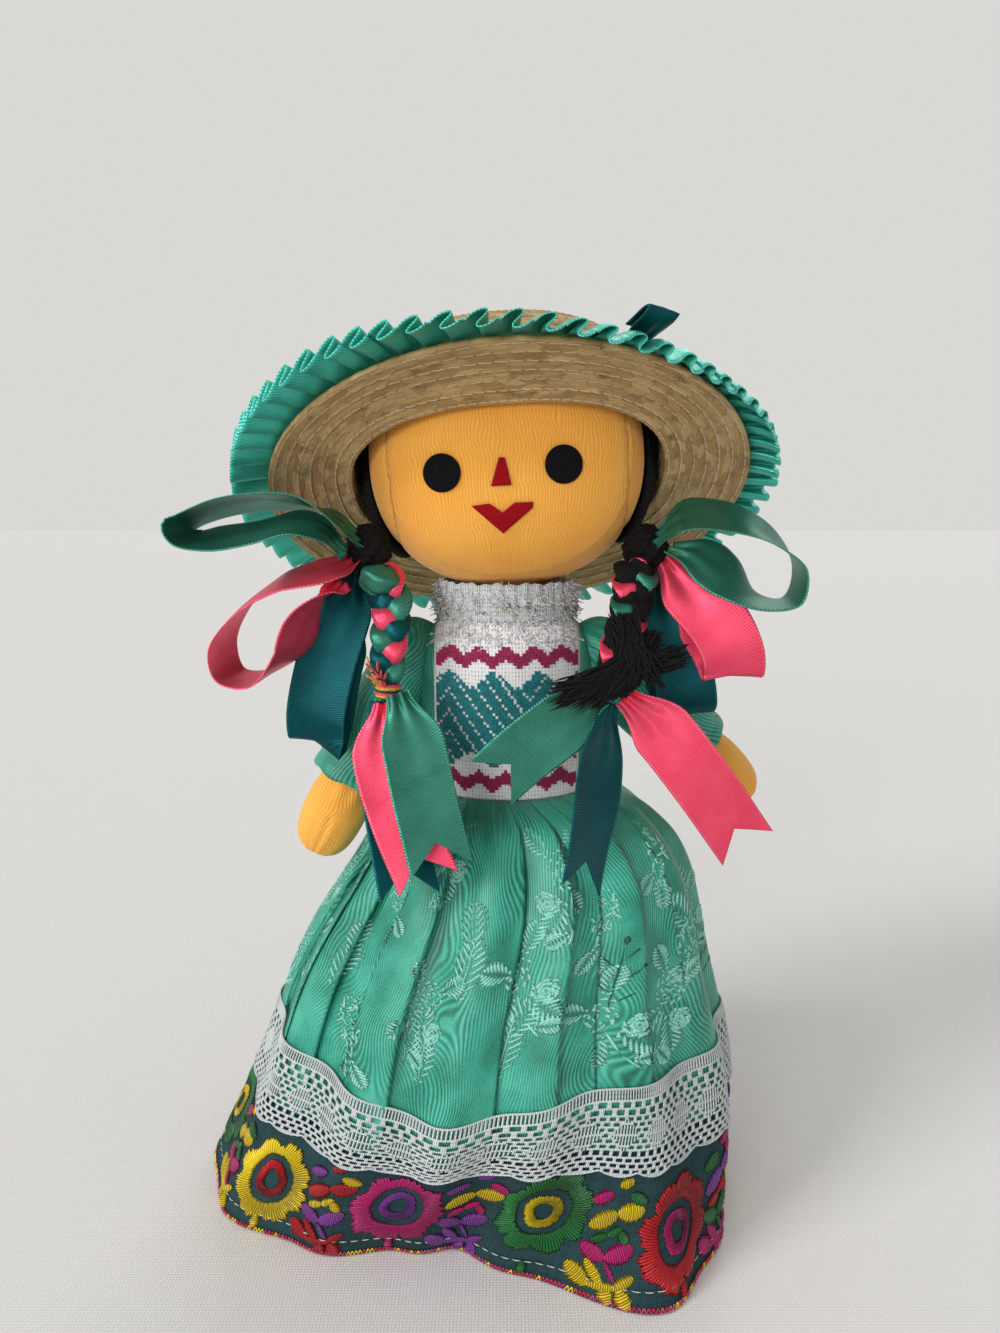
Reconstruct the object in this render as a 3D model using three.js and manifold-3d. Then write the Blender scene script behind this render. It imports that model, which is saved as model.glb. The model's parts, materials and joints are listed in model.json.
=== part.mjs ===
// A stuffed cloth doll about 30 cm tall in a ruffled straw hat and a gathered dress.
// Millimetres, +Z up. The doll faces -Y, so its own right hand is at -X.
import * as THREE from "three";
import { mergeVertices } from "three/addons/utils/BufferGeometryUtils.js";
import Module from "manifold-3d";

const wasm = await Module();
wasm.setup();

// Clearances: pieces sewn or glued face to face, and pieces that swing past each other
const SEAM_GAP = 0.3;
const SWING_GAP = 0.6;

// Thickness of each material
const CLOTH = 1.2;
const LACE = 0.7;
const FELT = 0.9;
const YARN = 4;
const STRAW = 1.6;
const SATIN = 0.8;

// Heights of the seams above the floor
const HIP_Z = 96;
const WAIST_Z = 147;
const SHOULDER_Z = 194;
const NECK_TOP_Z = 221.6;

// Stuffed body
const CHEST_HALF_WIDTH = 30.5;
const BODY_FLATTEN = 0.8;
const NECK_RADIUS = 19;
const HEAD_HALF = new THREE.Vector3(47, 41, 40);
const HEAD_POWER = 2.25;
const HEAD_ROLL = 4;
const ARM_LENGTH = 81;
const ARM_RADIUS = 10.5;
const RIGHT_ARM_OUT = 27;
const LEFT_ARM_OUT = 45;
const ARM_SWING = 60;
const LEG_RADIUS = 12;
const LEG_SPACING = 31;
const LEG_SWING = 12;
const FOOT_LENGTH = 34;

// Face
const EYE_RADIUS = 5.9;
const EYE_SPACING = 37.4;
const EYE_DROP = 4.4;
const NOSE_HEIGHT = 8.6;
const MOUTH_WIDTH = 18.4;
const MOUTH_HEIGHT = 8.4;

// Hair and braids
const HAIRLINE_Y = -8;
const NAPE_RISE = 10;
const HAIR_RISE = 15;
const KNOT_RADIUS = 8;
const BRAID_RADIUS = 6;
const TIE_RADIUS = 4.2;

// Hat
const HAT_TILT = 31.6;
const HAT_DROP = 9.9;
const CROWN_POWER = 2.5;
const CROWN_EASE = 1;
const BRIM_RADIUS = 80;
const BRIM_DROOP = 5;
const RUFFLE_WIDTH = 17;
const RUFFLE_OVERLAP = 5;
const RUFFLE_PLEATS = 54;
const RUFFLE_DEPTH = 4;

// Ribbons
const RIBBON_WIDTH = 20;
const HAT_LOOP_WIDTH = 10;
const NOTCH = 9;

// Dress
const PANEL_HALF_WIDTH = 24.5;
const BLOUSE_TOP = 61;
const COLLAR_RADIUS = 23.8;
const COLLAR_HEIGHT = 12;
const SLEEVE_LENGTH = 51;
const SLEEVE_EASE = 2;
const HEM_HALF_WIDTH = 94;
const HEM_HALF_DEPTH = 63;
const HEM_TURN = -13;
const HEM_SHIFT = new THREE.Vector2(-15, -5);
const PLEATS = 14;
const PLEAT_DEPTH = 3.6;
const BAND_HEIGHT = 46;
const LACE_ABOVE = 24;
const LACE_BELOW = 10;

const radians = THREE.MathUtils.degToRad;
const X_AXIS = new THREE.Vector3(1, 0, 0);
const Y_AXIS = new THREE.Vector3(0, 1, 0);

// Welded closed skin as a boolean operand, and back
function toSolid(geometry) {
  const bare = new THREE.BufferGeometry();
  bare.setAttribute("position", geometry.getAttribute("position"));
  bare.setIndex(geometry.getIndex());
  const welded = mergeVertices(bare, 1e-4);
  const mesh = new wasm.Mesh({
    numProp: 3,
    vertProperties: new Float32Array(welded.getAttribute("position").array),
    triVerts: new Uint32Array(welded.getIndex().array),
  });
  mesh.merge();
  return new wasm.Manifold(mesh);
}

function toGeometry(solid) {
  const mesh = solid.getMesh();
  const geometry = new THREE.BufferGeometry();
  geometry.setAttribute("position", new THREE.BufferAttribute(mesh.vertProperties, 3));
  geometry.setIndex(new THREE.BufferAttribute(mesh.triVerts, 1));
  geometry.computeVertexNormals();
  return geometry;
}

// Closed skin over rings of points: a tube with fanned ends, or rings joined all round.
// Both faces of a thin strip are split along matching diagonals, so it keeps its thickness.
function loft(rings, joined = false, strip = false) {
  const count = rings[0].length;
  const points = rings.flat();
  const index = [];
  const spans = joined ? rings.length : rings.length - 1;
  for (let i = 0; i < spans; i += 1) {
    const a = i * count;
    const b = ((i + 1) % rings.length) * count;
    for (let j = 0; j < count; j += 1) {
      const k = (j + 1) % count;
      if (strip && j >= count / 2) {
        index.push(a + j, b + j, a + k, b + j, b + k, a + k);
      } else {
        index.push(a + j, b + j, b + k, a + j, b + k, a + k);
      }
    }
  }
  if (!joined) {
    const last = (rings.length - 1) * count;
    for (let j = 2; j < count; j += 1) {
      const k = (j + 1) % count;
      index.push(1, j, k, last + 1, last + k, last + j);
    }
  }
  let volume = 0;
  for (let i = 0; i < index.length; i += 3) {
    const cross = new THREE.Vector3().crossVectors(points[index[i + 1]], points[index[i + 2]]);
    volume += points[index[i]].dot(cross);
  }
  if (volume < 0) {
    index.reverse();
  }
  const geometry = new THREE.BufferGeometry();
  geometry.setAttribute("position", new THREE.Float32BufferAttribute(points.flatMap((p) => p.toArray()), 3));
  geometry.setIndex(index);
  geometry.computeVertexNormals();
  return geometry;
}

// Solid of revolution about Z through (radius, height) pairs
function turned(profile, segments) {
  const points = profile.map(([radius, height]) => new THREE.Vector2(radius, height));
  if (THREE.ShapeUtils.area(points) < 0) {
    points.reverse();
  }
  return new THREE.LatheGeometry(points, segments).rotateX(Math.PI / 2);
}

function box(x0, x1, y0, y1, z0, z1) {
  const geometry = new THREE.BoxGeometry(x1 - x0, y1 - y0, z1 - z0);
  return toSolid(geometry.translate((x0 + x1) / 2, (y0 + y1) / 2, (z0 + z1) / 2));
}

// The fixed piece as seen from a swinging one at several angles of its swing, all together
function sweptBack(geometry, pivot, rest, axis, angles) {
  const seen = angles.map((angle) => {
    const turn = new THREE.Quaternion().setFromAxisAngle(axis, radians(angle)).multiply(rest);
    const frame = new THREE.Matrix4().compose(pivot, turn, new THREE.Vector3(1, 1, 1));
    return toSolid(geometry.clone().applyMatrix4(frame.invert()));
  });
  return wasm.Manifold.union(seen);
}

function cloth(colour, roughness) {
  return new THREE.MeshStandardMaterial({ color: colour, roughness, metalness: 0 });
}

const ochre = cloth(0xf0a848, 0.9);
const black = cloth(0x141316, 0.95);
const feltRed = cloth(0x9c0a20, 0.95);
const straw = cloth(0xc3a478, 0.8);
const mint = cloth(0x56b496, 0.4);
const ruffleGreen = cloth(0x2a9a7c, 0.4);
const coral = cloth(0xfb5a6e, 0.4);
const teal = cloth(0x00545a, 0.4);
const white = cloth(0xeeeef0, 0.85);
const silverWhite = cloth(0xe4e6e8, 0.6);
const brocade = cloth(0x58ba98, 0.5);
const slate = cloth(0x2f4a4c, 0.8);
const thread = cloth(0xd8b64a, 0.8);

const doll = new THREE.Group();

function add(name, geometry, material, parent = doll) {
  const mesh = new THREE.Mesh(geometry, material);
  mesh.name = name;
  parent.add(mesh);
  return mesh;
}

// Torso and neck: turned, then flattened front to back
const trunk = (WAIST_Z - HIP_Z) / 51;
const chest = (SHOULDER_Z - WAIST_Z) / 47;
const neck = NECK_TOP_Z - SHOULDER_Z;

function torsoSkin(grow, segments = 28) {
  const profile = [
    [0, HIP_Z + 2 - grow],
    [CHEST_HALF_WIDTH * 0.59 + grow, HIP_Z + 5 - grow],
    [CHEST_HALF_WIDTH * 0.85 + grow, HIP_Z + 14 * trunk],
    [CHEST_HALF_WIDTH * 0.95 + grow, HIP_Z + 30 * trunk],
    [CHEST_HALF_WIDTH * 0.93 + grow, WAIST_Z],
    [CHEST_HALF_WIDTH * 0.96 + grow, WAIST_Z + 18 * chest],
    [CHEST_HALF_WIDTH + grow, WAIST_Z + 34 * chest],
    [CHEST_HALF_WIDTH + grow, SHOULDER_Z],
    [CHEST_HALF_WIDTH * 0.9 + grow, SHOULDER_Z + neck * 0.26],
    [NECK_RADIUS * 1.2 + grow, SHOULDER_Z + neck * 0.44],
    [NECK_RADIUS * 1.05 + grow, SHOULDER_Z + neck * 0.54],
    [NECK_RADIUS + grow, SHOULDER_Z + neck * 0.7],
    [NECK_RADIUS * 0.62 + grow, NECK_TOP_Z - NECK_RADIUS * 0.14],
    [0, NECK_TOP_Z],
  ];
  return turned(profile, segments).scale(1, BODY_FLATTEN, 1);
}

add("torso", torsoSkin(0), ochre);

// Head: a rounded block of stuffing on the neck, leaning a little to its right
const headCentre = new THREE.Vector3(0, 0, NECK_TOP_Z + SEAM_GAP + HEAD_HALF.z);

const lean = -radians(HEAD_ROLL);

function headSkin(grow) {
  const geometry = new THREE.SphereGeometry(1, 24, 14).rotateX(Math.PI / 2);
  const position = geometry.getAttribute("position");
  const point = new THREE.Vector3();
  for (let i = 0; i < position.count; i += 1) {
    point.fromBufferAttribute(position, i);
    const sum = Math.abs(point.x / (HEAD_HALF.x + grow)) ** HEAD_POWER
      + Math.abs(point.y / (HEAD_HALF.y + grow)) ** HEAD_POWER
      + Math.abs(point.z / (HEAD_HALF.z + grow)) ** HEAD_POWER;
    point.multiplyScalar(sum ** (-1 / HEAD_POWER));
    point.applyAxisAngle(Y_AXIS, lean).add(headCentre);
    position.setXYZ(i, point.x, point.y, point.z);
  }
  geometry.computeVertexNormals();
  return geometry;
}

add("head", headSkin(0), ochre);

// Felt cut-outs lie on the face
const feltLayer = toSolid(headSkin(SEAM_GAP + FELT)).subtract(toSolid(headSkin(SEAM_GAP)));

function felt(shape) {
  const depth = HEAD_HALF.y + 20;
  const prism = new THREE.ExtrudeGeometry(shape, { depth, bevelEnabled: false, curveSegments: 8 });
  return toGeometry(feltLayer.intersect(toSolid(prism.rotateX(Math.PI / 2))));
}

function eye(x, z) {
  const shape = new THREE.Shape();
  shape.absarc(x, z, EYE_RADIUS, 0, Math.PI * 2);
  return felt(shape);
}

const eyeZ = headCentre.z - EYE_DROP;
const faceX = -1.6;
add("right_eye", eye(faceX - EYE_SPACING / 2, eyeZ - 1.3), black);
add("left_eye", eye(faceX + EYE_SPACING / 2, eyeZ + 1.3), black);

const noseZ = eyeZ - 1;
const nose = new THREE.Shape([
  new THREE.Vector2(faceX - 1.2, noseZ + NOSE_HEIGHT / 2),
  new THREE.Vector2(faceX + 0.6, noseZ + NOSE_HEIGHT / 2),
  new THREE.Vector2(faceX + 2.7, noseZ - NOSE_HEIGHT / 2 + 0.3),
  new THREE.Vector2(faceX - 3.6, noseZ - NOSE_HEIGHT / 2),
]);
add("nose", felt(nose), feltRed);

const mouthZ = eyeZ - 11.4;
const mouthHalf = MOUTH_WIDTH / 2;
const mouth = new THREE.Shape();
mouth.moveTo(faceX - mouthHalf, mouthZ);
mouth.quadraticCurveTo(faceX - mouthHalf * 0.6, mouthZ + 1.4, faceX - mouthHalf * 0.3, mouthZ + 1);
mouth.lineTo(faceX, mouthZ - MOUTH_HEIGHT * 0.22);
mouth.lineTo(faceX + mouthHalf * 0.3, mouthZ + 1.2);
mouth.quadraticCurveTo(faceX + mouthHalf * 0.7, mouthZ + 1.5, faceX + mouthHalf, mouthZ + 0.6);
mouth.quadraticCurveTo(faceX + mouthHalf * 0.7, mouthZ - MOUTH_HEIGHT * 0.7, faceX, mouthZ - MOUTH_HEIGHT);
mouth.quadraticCurveTo(faceX - mouthHalf * 0.7, mouthZ - MOUTH_HEIGHT * 0.75, faceX - mouthHalf, mouthZ);
add("mouth", felt(mouth), feltRed);

// Hair: a layer of yarn behind the hairline, from above the nape to inside the hat
const hairOuter = SEAM_GAP + YARN;
const napeZ = headCentre.z - HEAD_HALF.z + NAPE_RISE;

function hairBulk(grow) {
  const behind = box(-200, 200, HAIRLINE_Y - grow, 200, napeZ - grow, headCentre.z + HAIR_RISE);
  return toSolid(headSkin(hairOuter + grow)).intersect(behind);
}

const scalp = toSolid(headSkin(SEAM_GAP));
add("hair", toGeometry(hairBulk(0).subtract(scalp)), black);

// Hair knots and braids at the jaw, one a side, each knot cut where it rests on the hair
const knotX = HEAD_HALF.x - 0.6;
const knotDrop = HEAD_HALF.z * 0.76;

function knotAt(side) {
  return new THREE.Vector3(side * knotX, -0.32 * HEAD_HALF.y, headCentre.z - knotDrop);
}

function braidTop(side) {
  return knotAt(side).add(new THREE.Vector3(-side * 4, -8, -9));
}

function hairKnot(side) {
  const ball = new THREE.SphereGeometry(KNOT_RADIUS, 14, 10);
  ball.scale(1, 1, 1.15).translate(...knotAt(side).toArray());
  const socket = new THREE.SphereGeometry(BRAID_RADIUS + SWING_GAP, 14, 10);
  socket.translate(...braidTop(side).toArray());
  const rest = toSolid(ball).subtract(scalp).subtract(hairBulk(SEAM_GAP));
  return toGeometry(rest.subtract(toSolid(socket)));
}

add("right_hair_knot", hairKnot(-1), black);
add("left_hair_knot", hairKnot(1), black);

// Round bundle along a path, its radius given at evenly spaced stations
function bundle(points, radii, steps, sides) {
  const curve = new THREE.CatmullRomCurve3(points);
  const rings = [];
  for (let i = 0; i <= steps; i += 1) {
    const t = i / steps;
    const along = curve.getTangentAt(t);
    const across = new THREE.Vector3().crossVectors(along, Y_AXIS).normalize();
    const out = new THREE.Vector3().crossVectors(across, along);
    const place = t * (radii.length - 1);
    const low = Math.min(Math.floor(place), radii.length - 2);
    const radius = THREE.MathUtils.lerp(radii[low], radii[low + 1], place - low);
    const ring = [];
    for (let j = 0; j < sides; j += 1) {
      const angle = (j / sides) * Math.PI * 2;
      const point = curve.getPointAt(t);
      point.addScaledVector(across, radius * Math.cos(angle));
      point.addScaledVector(out, radius * Math.sin(angle));
      ring.push(point);
    }
    rings.push(ring);
  }
  return loft(rings);
}

function offset(base, [x, y, z]) {
  return base.clone().add(new THREE.Vector3(x, y, z));
}

// A braid hangs forward over the shoulder from under its knot; its top is round for the swing
function braid(side, path, grow) {
  const top = braidTop(side);
  const points = path.map((step) => offset(top, step));
  const full = BRAID_RADIUS + grow;
  const ball = new THREE.SphereGeometry(full, 14, 10).translate(...top.toArray());
  const tube = bundle(points, [full * 0.8, full, full * 1.04, full * 0.9, full * 0.6], 6, 10);
  return toSolid(ball).add(toSolid(tube));
}

const rightBraidPath = [[0, 0, 0], [5, -5, -8], [4, -10, -20], [4, -12, -32]];
const leftBraidPath = [[0, 0, 0], [-2, -5, -8], [-6, -10, -20], [-10, -12, -32]];
add("right_braid", toGeometry(braid(-1, rightBraidPath, 0)), coral);
add("left_braid", toGeometry(braid(1, leftBraidPath, 0)), black);

// Thread wound round the end of each braid, the ribbon tails spring from it
function tieAt(side, path) {
  return offset(braidTop(side), path[path.length - 1]).add(new THREE.Vector3(0, -0.5, -3.2));
}

const rightTie = tieAt(-1, rightBraidPath);
const leftTie = tieAt(1, leftBraidPath);

function braidTie(side, path) {
  const profile = [[0, 3], [TIE_RADIUS * 0.8, 2.6], [TIE_RADIUS, 0], [TIE_RADIUS * 0.8, -2.6], [0, -3]];
  const wound = turned(profile, 16).translate(...tieAt(side, path).toArray());
  const end = braid(side, path, SEAM_GAP);
  return toGeometry(toSolid(wound).subtract(end.add(end.translate(0, 0, -SEAM_GAP))));
}

add("right_braid_tie", braidTie(-1, rightBraidPath), thread);
add("left_braid_tie", braidTie(1, leftBraidPath), black);

// Loose yarn ends of the left braid, brushed out to both sides in front of the tie
const tasselPath = [[-19, -15, 2.5], [-8, -13, 4], [3, -7.6, 7.5], [13, -8, 12.5], [23, -8, 17.5]];
const tassel = bundle(tasselPath.map((step) => offset(leftTie, step)), [2.4, 4, 4.4, 3.4, 2], 8, 8);
add("left_braid_tassel", tassel, black);

// Hat, drawn about its own axis with the brim's inner edge at height zero
const tilt = radians(HAT_TILT);
const hatUp = new THREE.Vector3(0, Math.sin(tilt), Math.cos(tilt));
const hatBack = new THREE.Vector3(0, Math.cos(tilt), -Math.sin(tilt));
const dual = HEAD_POWER / (HEAD_POWER - 1);

// How far the head, grown by a layer, reaches along a direction
function reach(grow, direction) {
  const sum = Math.abs((HEAD_HALF.x + grow) * direction.x) ** dual
    + Math.abs((HEAD_HALF.y + grow) * direction.y) ** dual
    + Math.abs((HEAD_HALF.z + grow) * direction.z) ** dual;
  return sum ** (1 / dual);
}

const frontReach = reach(0, hatBack);
const backReach = reach(hairOuter, hatBack);
const crownHalfWidth = reach(hairOuter, X_AXIS) + CROWN_EASE;
const crownHalfDepth = (frontReach + backReach) / 2 + CROWN_EASE;
const crownHeight = reach(0, hatUp) + HAT_DROP + CROWN_EASE;

const hat = new THREE.Group();
hat.position.addScaledVector(hatUp, -HAT_DROP);
hat.position.addScaledVector(hatBack, (backReach - frontReach) / 2);
hat.position.applyAxisAngle(Y_AXIS, lean).add(headCentre);
hat.rotation.set(-tilt, lean, 0, "YXZ");
doll.add(hat);

// Point on the hat: up to 1 on the dome of the crown, to 2 on its wall, to 3 on the brim
function hatPoint(along, angle, grow) {
  const dome = Math.min(along, 1) * Math.PI / 2;
  const wall = THREE.MathUtils.clamp(along - 1, 0, 1);
  const brim = Math.max(along - 2, 0);
  const spread = Math.sin(dome) ** (2 / CROWN_POWER);
  const halfX = THREE.MathUtils.lerp((crownHalfWidth + grow) * spread, BRIM_RADIUS, brim);
  const halfY = THREE.MathUtils.lerp((crownHalfDepth + grow) * spread, BRIM_RADIUS, brim);
  const power = THREE.MathUtils.lerp(HEAD_POWER + 0.15, 2, brim);
  const x = Math.cos(angle);
  const y = Math.sin(angle);
  const radius = (Math.abs(x / halfX) ** power + Math.abs(y / halfY) ** power) ** (-1 / power);
  const domeHeight = (crownHeight - HAT_DROP + grow) * Math.cos(dome) ** (2 / CROWN_POWER);
  const height = domeHeight + HAT_DROP * (1 - wall) - BRIM_DROOP * brim * brim;
  const lift = grow * Math.min(brim * 5, 1);
  return new THREE.Vector3(radius * x, radius * y, height + lift);
}

function hatRing(along, grow) {
  const ring = [];
  for (let j = 0; j < 36; j += 1) {
    ring.push(hatPoint(along, (j / 36) * Math.PI * 2, grow));
  }
  return ring;
}

const hatStops = [0.12, 0.36, 0.6, 0.82, 1, 2, 2.4, 2.7, 3];
const hatInside = hatStops.map((along) => hatRing(along, 0));
const hatOutside = hatStops.map((along) => hatRing(along, STRAW)).reverse();
add("straw_hat", loft([...hatInside, ...hatOutside]), straw, hat);

// Ribbon pleats stand on the upper side of the brim and overhang its edge
const ruffleColumns = [];
for (let j = 0; j < RUFFLE_PLEATS * 3; j += 1) {
  const angle = (j / (RUFFLE_PLEATS * 3)) * Math.PI * 2;
  const wave = RUFFLE_DEPTH * [0, 1, 0.8][j % 3];
  const rim = -BRIM_DROOP + STRAW + SEAM_GAP;
  const inner = BRIM_RADIUS - RUFFLE_OVERLAP;
  const outer = inner + RUFFLE_WIDTH;
  const corners = [
    [inner, rim + 1.9],
    [outer, rim + wave - 1],
    [outer, rim + wave - 1 + SATIN],
    [inner, rim + 1.9 + SATIN],
  ];
  ruffleColumns.push(corners.map(([radius, height]) => (
    new THREE.Vector3(radius * Math.cos(angle), radius * Math.sin(angle), height)
  )));
}
add("hat_ruffle", loft(ruffleColumns, true, true), ruffleGreen, hat);

// Ribbon along a path with its own crosswise direction at each point of the path.
// A pinched ribbon narrows at both ends, a notched one ends in a swallowtail.
function ribbon({ path, across, width, steps, pinch, notch }) {
  const curve = new THREE.CatmullRomCurve3(path, false, "centripetal");
  const lay = new THREE.CatmullRomCurve3(across.map((step) => new THREE.Vector3(...step)));
  const length = curve.getLength();
  const rings = [];
  for (let i = 0; i <= steps; i += 1) {
    const t = i / steps;
    const along = curve.getTangentAt(t);
    const side = lay.getPoint(curve.getUtoTmapping(t));
    side.addScaledVector(along, -side.dot(along)).normalize();
    const face = new THREE.Vector3().crossVectors(side, along);
    const fold = pinch ? Math.min(1, 0.35 + 3.2 * Math.min(t, 1 - t)) : Math.min(1, 0.4 + 2.5 * t);
    const half = (width / 2) * fold;
    const centre = curve.getPointAt(t);
    const middle = i === steps ? centre.clone().addScaledVector(along, -notch) : centre;
    const ring = [[-half, 0.5], [0, 0.5], [half, 0.5], [half, -0.5], [0, -0.5], [-half, -0.5]];
    rings.push(ring.map(([shift, layer]) => (
      (shift === 0 ? middle.clone() : centre.clone())
        .addScaledVector(side, shift)
        .addScaledVector(face, layer * SATIN)
    )));
  }
  if (length < 2 * notch) {
    throw new Error("a ribbon is shorter than its notch");
  }
  return loft(rings, false, true);
}

// Short loop of narrow ribbon that overhangs the ruffle at the front left of the hat
const hatLoopAngle = radians(-61);
const hatLoopOut = new THREE.Vector3(Math.cos(hatLoopAngle), Math.sin(hatLoopAngle), 0);
const hatLoopSide = [-hatLoopOut.y, hatLoopOut.x, 0];
const ruffleEdge = BRIM_RADIUS - RUFFLE_OVERLAP + RUFFLE_WIDTH;
const ruffleTop = -BRIM_DROOP + STRAW + SEAM_GAP + RUFFLE_DEPTH + SATIN;
const hatLoopPath = [
  [BRIM_RADIUS - 12, ruffleTop - 1.3],
  [BRIM_RADIUS, ruffleTop + 0.2],
  [ruffleEdge + 3, ruffleTop + 0.4],
  [ruffleEdge + 6, ruffleTop + 1.8],
  [ruffleEdge + 3, ruffleTop + 3.2],
  [BRIM_RADIUS, ruffleTop + 2.6],
].map(([radius, height]) => hatLoopOut.clone().multiplyScalar(radius).setZ(height));
const hatLoop = ribbon({
  path: hatLoopPath,
  across: hatLoopPath.map(() => hatLoopSide),
  width: HAT_LOOP_WIDTH,
  steps: 10,
  pinch: false,
  notch: 0,
});
add("hat_loop", hatLoop, teal, hat);

// Bow loops spring from the outer face of each hair knot
function bowLoop(side, path, across) {
  const knot = knotAt(side);
  const ball = new THREE.SphereGeometry(KNOT_RADIUS + SEAM_GAP, 16, 12);
  ball.scale(1, 1, 1.15).translate(knot.x, knot.y, knot.z);
  const strip = ribbon({
    path: path.map((step) => offset(knot, step)),
    across,
    width: RIBBON_WIDTH,
    steps: 16,
    pinch: true,
    notch: 0,
  });
  return toGeometry(toSolid(strip).subtract(toSolid(ball)));
}

const rightMintLoop = [
  [-2, -5, 2.5], [-10, -14, 10.5], [-22, -16, 14.4], [-37, -16, 14.4], [-51, -16, 11],
  [-57.6, -16, 6.8], [-48, -16.5, 3.2], [-33, -17.5, 4.2], [-20, -17.5, 6], [-10.5, -15, 3.2], [-6.5, -11, -1.5],
];
const leanBack = [0, 0.85, 0.5];
add("right_mint_loop", bowLoop(-1, rightMintLoop, rightMintLoop.map(() => leanBack)), mint);

const rightCoralLoop = [
  [-5, -4, -3], [-13, -14, -6], [-26, -17, -10], [-39, -18, -18.5], [-46, -18, -30],
  [-43.6, -18, -39.5], [-33.5, -19, -40.2], [-23.5, -19.5, -31], [-18.5, -19.5, -20], [-12.5, -17, -13], [-8, -12, -10.5],
];
const rightCoralAcross = [
  [0.1, 0.9, 0.45], [0.1, 0.9, 0.45], [0.1, 0.9, 0.45], [0.2, 0.95, 0.25], [0.25, 0.97, 0],
  [0.3, 0.95, -0.1], [0.4, 0.9, 0.1], [0.62, 0.72, 0.2], [0.62, 0.72, 0.3], [0.4, 0.85, 0.4], [0.2, 0.9, 0.4],
];
add("right_coral_loop", bowLoop(-1, rightCoralLoop, rightCoralAcross), coral);

const rightTealLoop = [
  [-4.5, -1.5, -5.5], [-9, -7.5, -22], [-14.5, -9.5, -40], [-18.5, -8.5, -57],
  [-17.5, -7, -64], [-13.5, -6.4, -50], [-9.5, -5.6, -30], [-7.5, -3.4, -17],
];
const rightTealAcross = [0.88, 0, -0.47];
add("right_teal_loop", bowLoop(-1, rightTealLoop, rightTealLoop.map(() => rightTealAcross)), teal);

const leftMintLoop = [
  [2.5, -4.5, 3.5], [11, -13, 13], [24.6, -17, 13], [37.9, -18, 6],
  [45.2, -18, -5], [41.8, -19, -12.4], [30, -20, -10], [18.5, -19, -1.5], [11, -15, 3], [6.5, -11, 1],
];
const leftMintAcross = [
  [0, 0.9, 0.4], [0, 0.9, 0.4], [0.1, 0.9, 0.4], [0.1, 0.95, 0.2],
  [0, 1, 0.05], [-0.1, 0.95, 0.2], [-0.15, 0.9, 0.4], [-0.15, 0.9, 0.4], [0, 0.9, 0.4], [0, 0.9, 0.4],
];
add("left_mint_loop", bowLoop(1, leftMintLoop, leftMintAcross), mint);

const leftCoralLoop = [
  [5.5, -3.5, -2.5], [13.5, -14, -13], [24, -17, -24], [29.3, -16.5, -36],
  [27.8, -13, -41.5], [22, -11, -34], [14.5, -9.5, -22], [9.5, -8, -13],
];
const leftCoralAcross = [0.87, 0, 0.5];
add("left_coral_loop", bowLoop(1, leftCoralLoop, leftCoralLoop.map(() => leftCoralAcross)), coral);

const leftTealLoop = [
  [5, -1, -5], [8.5, -6, -22], [12.2, -7.6, -39], [14.4, -6.6, -53],
  [13.6, -3.4, -56], [9.5, -2.6, -38], [6.5, -2, -18.5],
];
const leftTealAcross = [0.94, 0, 0.34];
add("left_teal_loop", bowLoop(1, leftTealLoop, leftTealLoop.map(() => leftTealAcross)), teal);

// Swallowtail ends hang from each braid's tie
function tail(tie, path, across) {
  return ribbon({
    path: path.map((step) => offset(tie, step)),
    across: path.map(() => across),
    width: RIBBON_WIDTH,
    steps: 6,
    pinch: false,
    notch: NOTCH,
  });
}

const rightMintTail = [[3.2, -4.6, 0], [9.5, -11, -13], [14, -16, -26], [18, -22, -47]];
const rightCoralTail = [[-1, -2.6, -3.5], [-1, -8.5, -19], [4, -13, -35], [12, -18.5, -52]];
const rightTealTail = [[-2.5, 1.6, -3.6], [-9, -4, -26], [-8, -12, -45], [-4, -19.5, -59]];
add("right_mint_tail", tail(rightTie, rightMintTail, [0.95, 0, 0.3]), mint);
add("right_coral_tail", tail(rightTie, rightCoralTail, [0.95, 0.1, 0.3]), coral);
add("right_teal_tail", tail(rightTie, rightTealTail, [0.82, 0.5, 0.2]), teal);

const leftMintTail = [[-2.4, -4.4, -0.4], [-16, -10.5, -9], [-28, -12.5, -18], [-38, -14, -27]];
const leftTealTail = [[0.4, -2.2, -3.6], [-2, -6.5, -19], [-6, -15, -36], [-10, -22.5, -56]];
const leftCoralTail = [[4.6, -5, -1], [15, -6.5, -10], [29.5, -7.5, -28], [46.5, -4, -52]];
add("left_mint_tail", tail(leftTie, leftMintTail, [0.63, 0, -0.78]), mint);
add("left_teal_tail", tail(leftTie, leftTealTail, [0.98, 0, 0.15]), teal);
add("left_coral_tail", tail(leftTie, leftCoralTail, [0.78, 0, 0.63]), coral);

// Bodice: one layer over the torso, the white front panel let into the mint blouse
const bodiceLayer = toSolid(torsoSkin(SEAM_GAP + CLOTH)).subtract(toSolid(torsoSkin(SEAM_GAP)));
const bodiceFloor = WAIST_Z + SEAM_GAP;
const bodiceCeiling = WAIST_Z + BLOUSE_TOP * chest;
const frontOnly = box(-PANEL_HALF_WIDTH, PANEL_HALF_WIDTH, -200, 0, bodiceFloor, bodiceCeiling);
const panelHole = PANEL_HALF_WIDTH + SEAM_GAP;
const frontHole = box(-panelHole, panelHole, -200, SEAM_GAP, 0, 400);
const bodiceSlab = box(-200, 200, -200, 200, bodiceFloor, bodiceCeiling);
add("embroidered_panel", toGeometry(bodiceLayer.intersect(frontOnly)), white);
add("blouse", toGeometry(bodiceLayer.intersect(bodiceSlab).subtract(frontHole)), mint);

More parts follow.
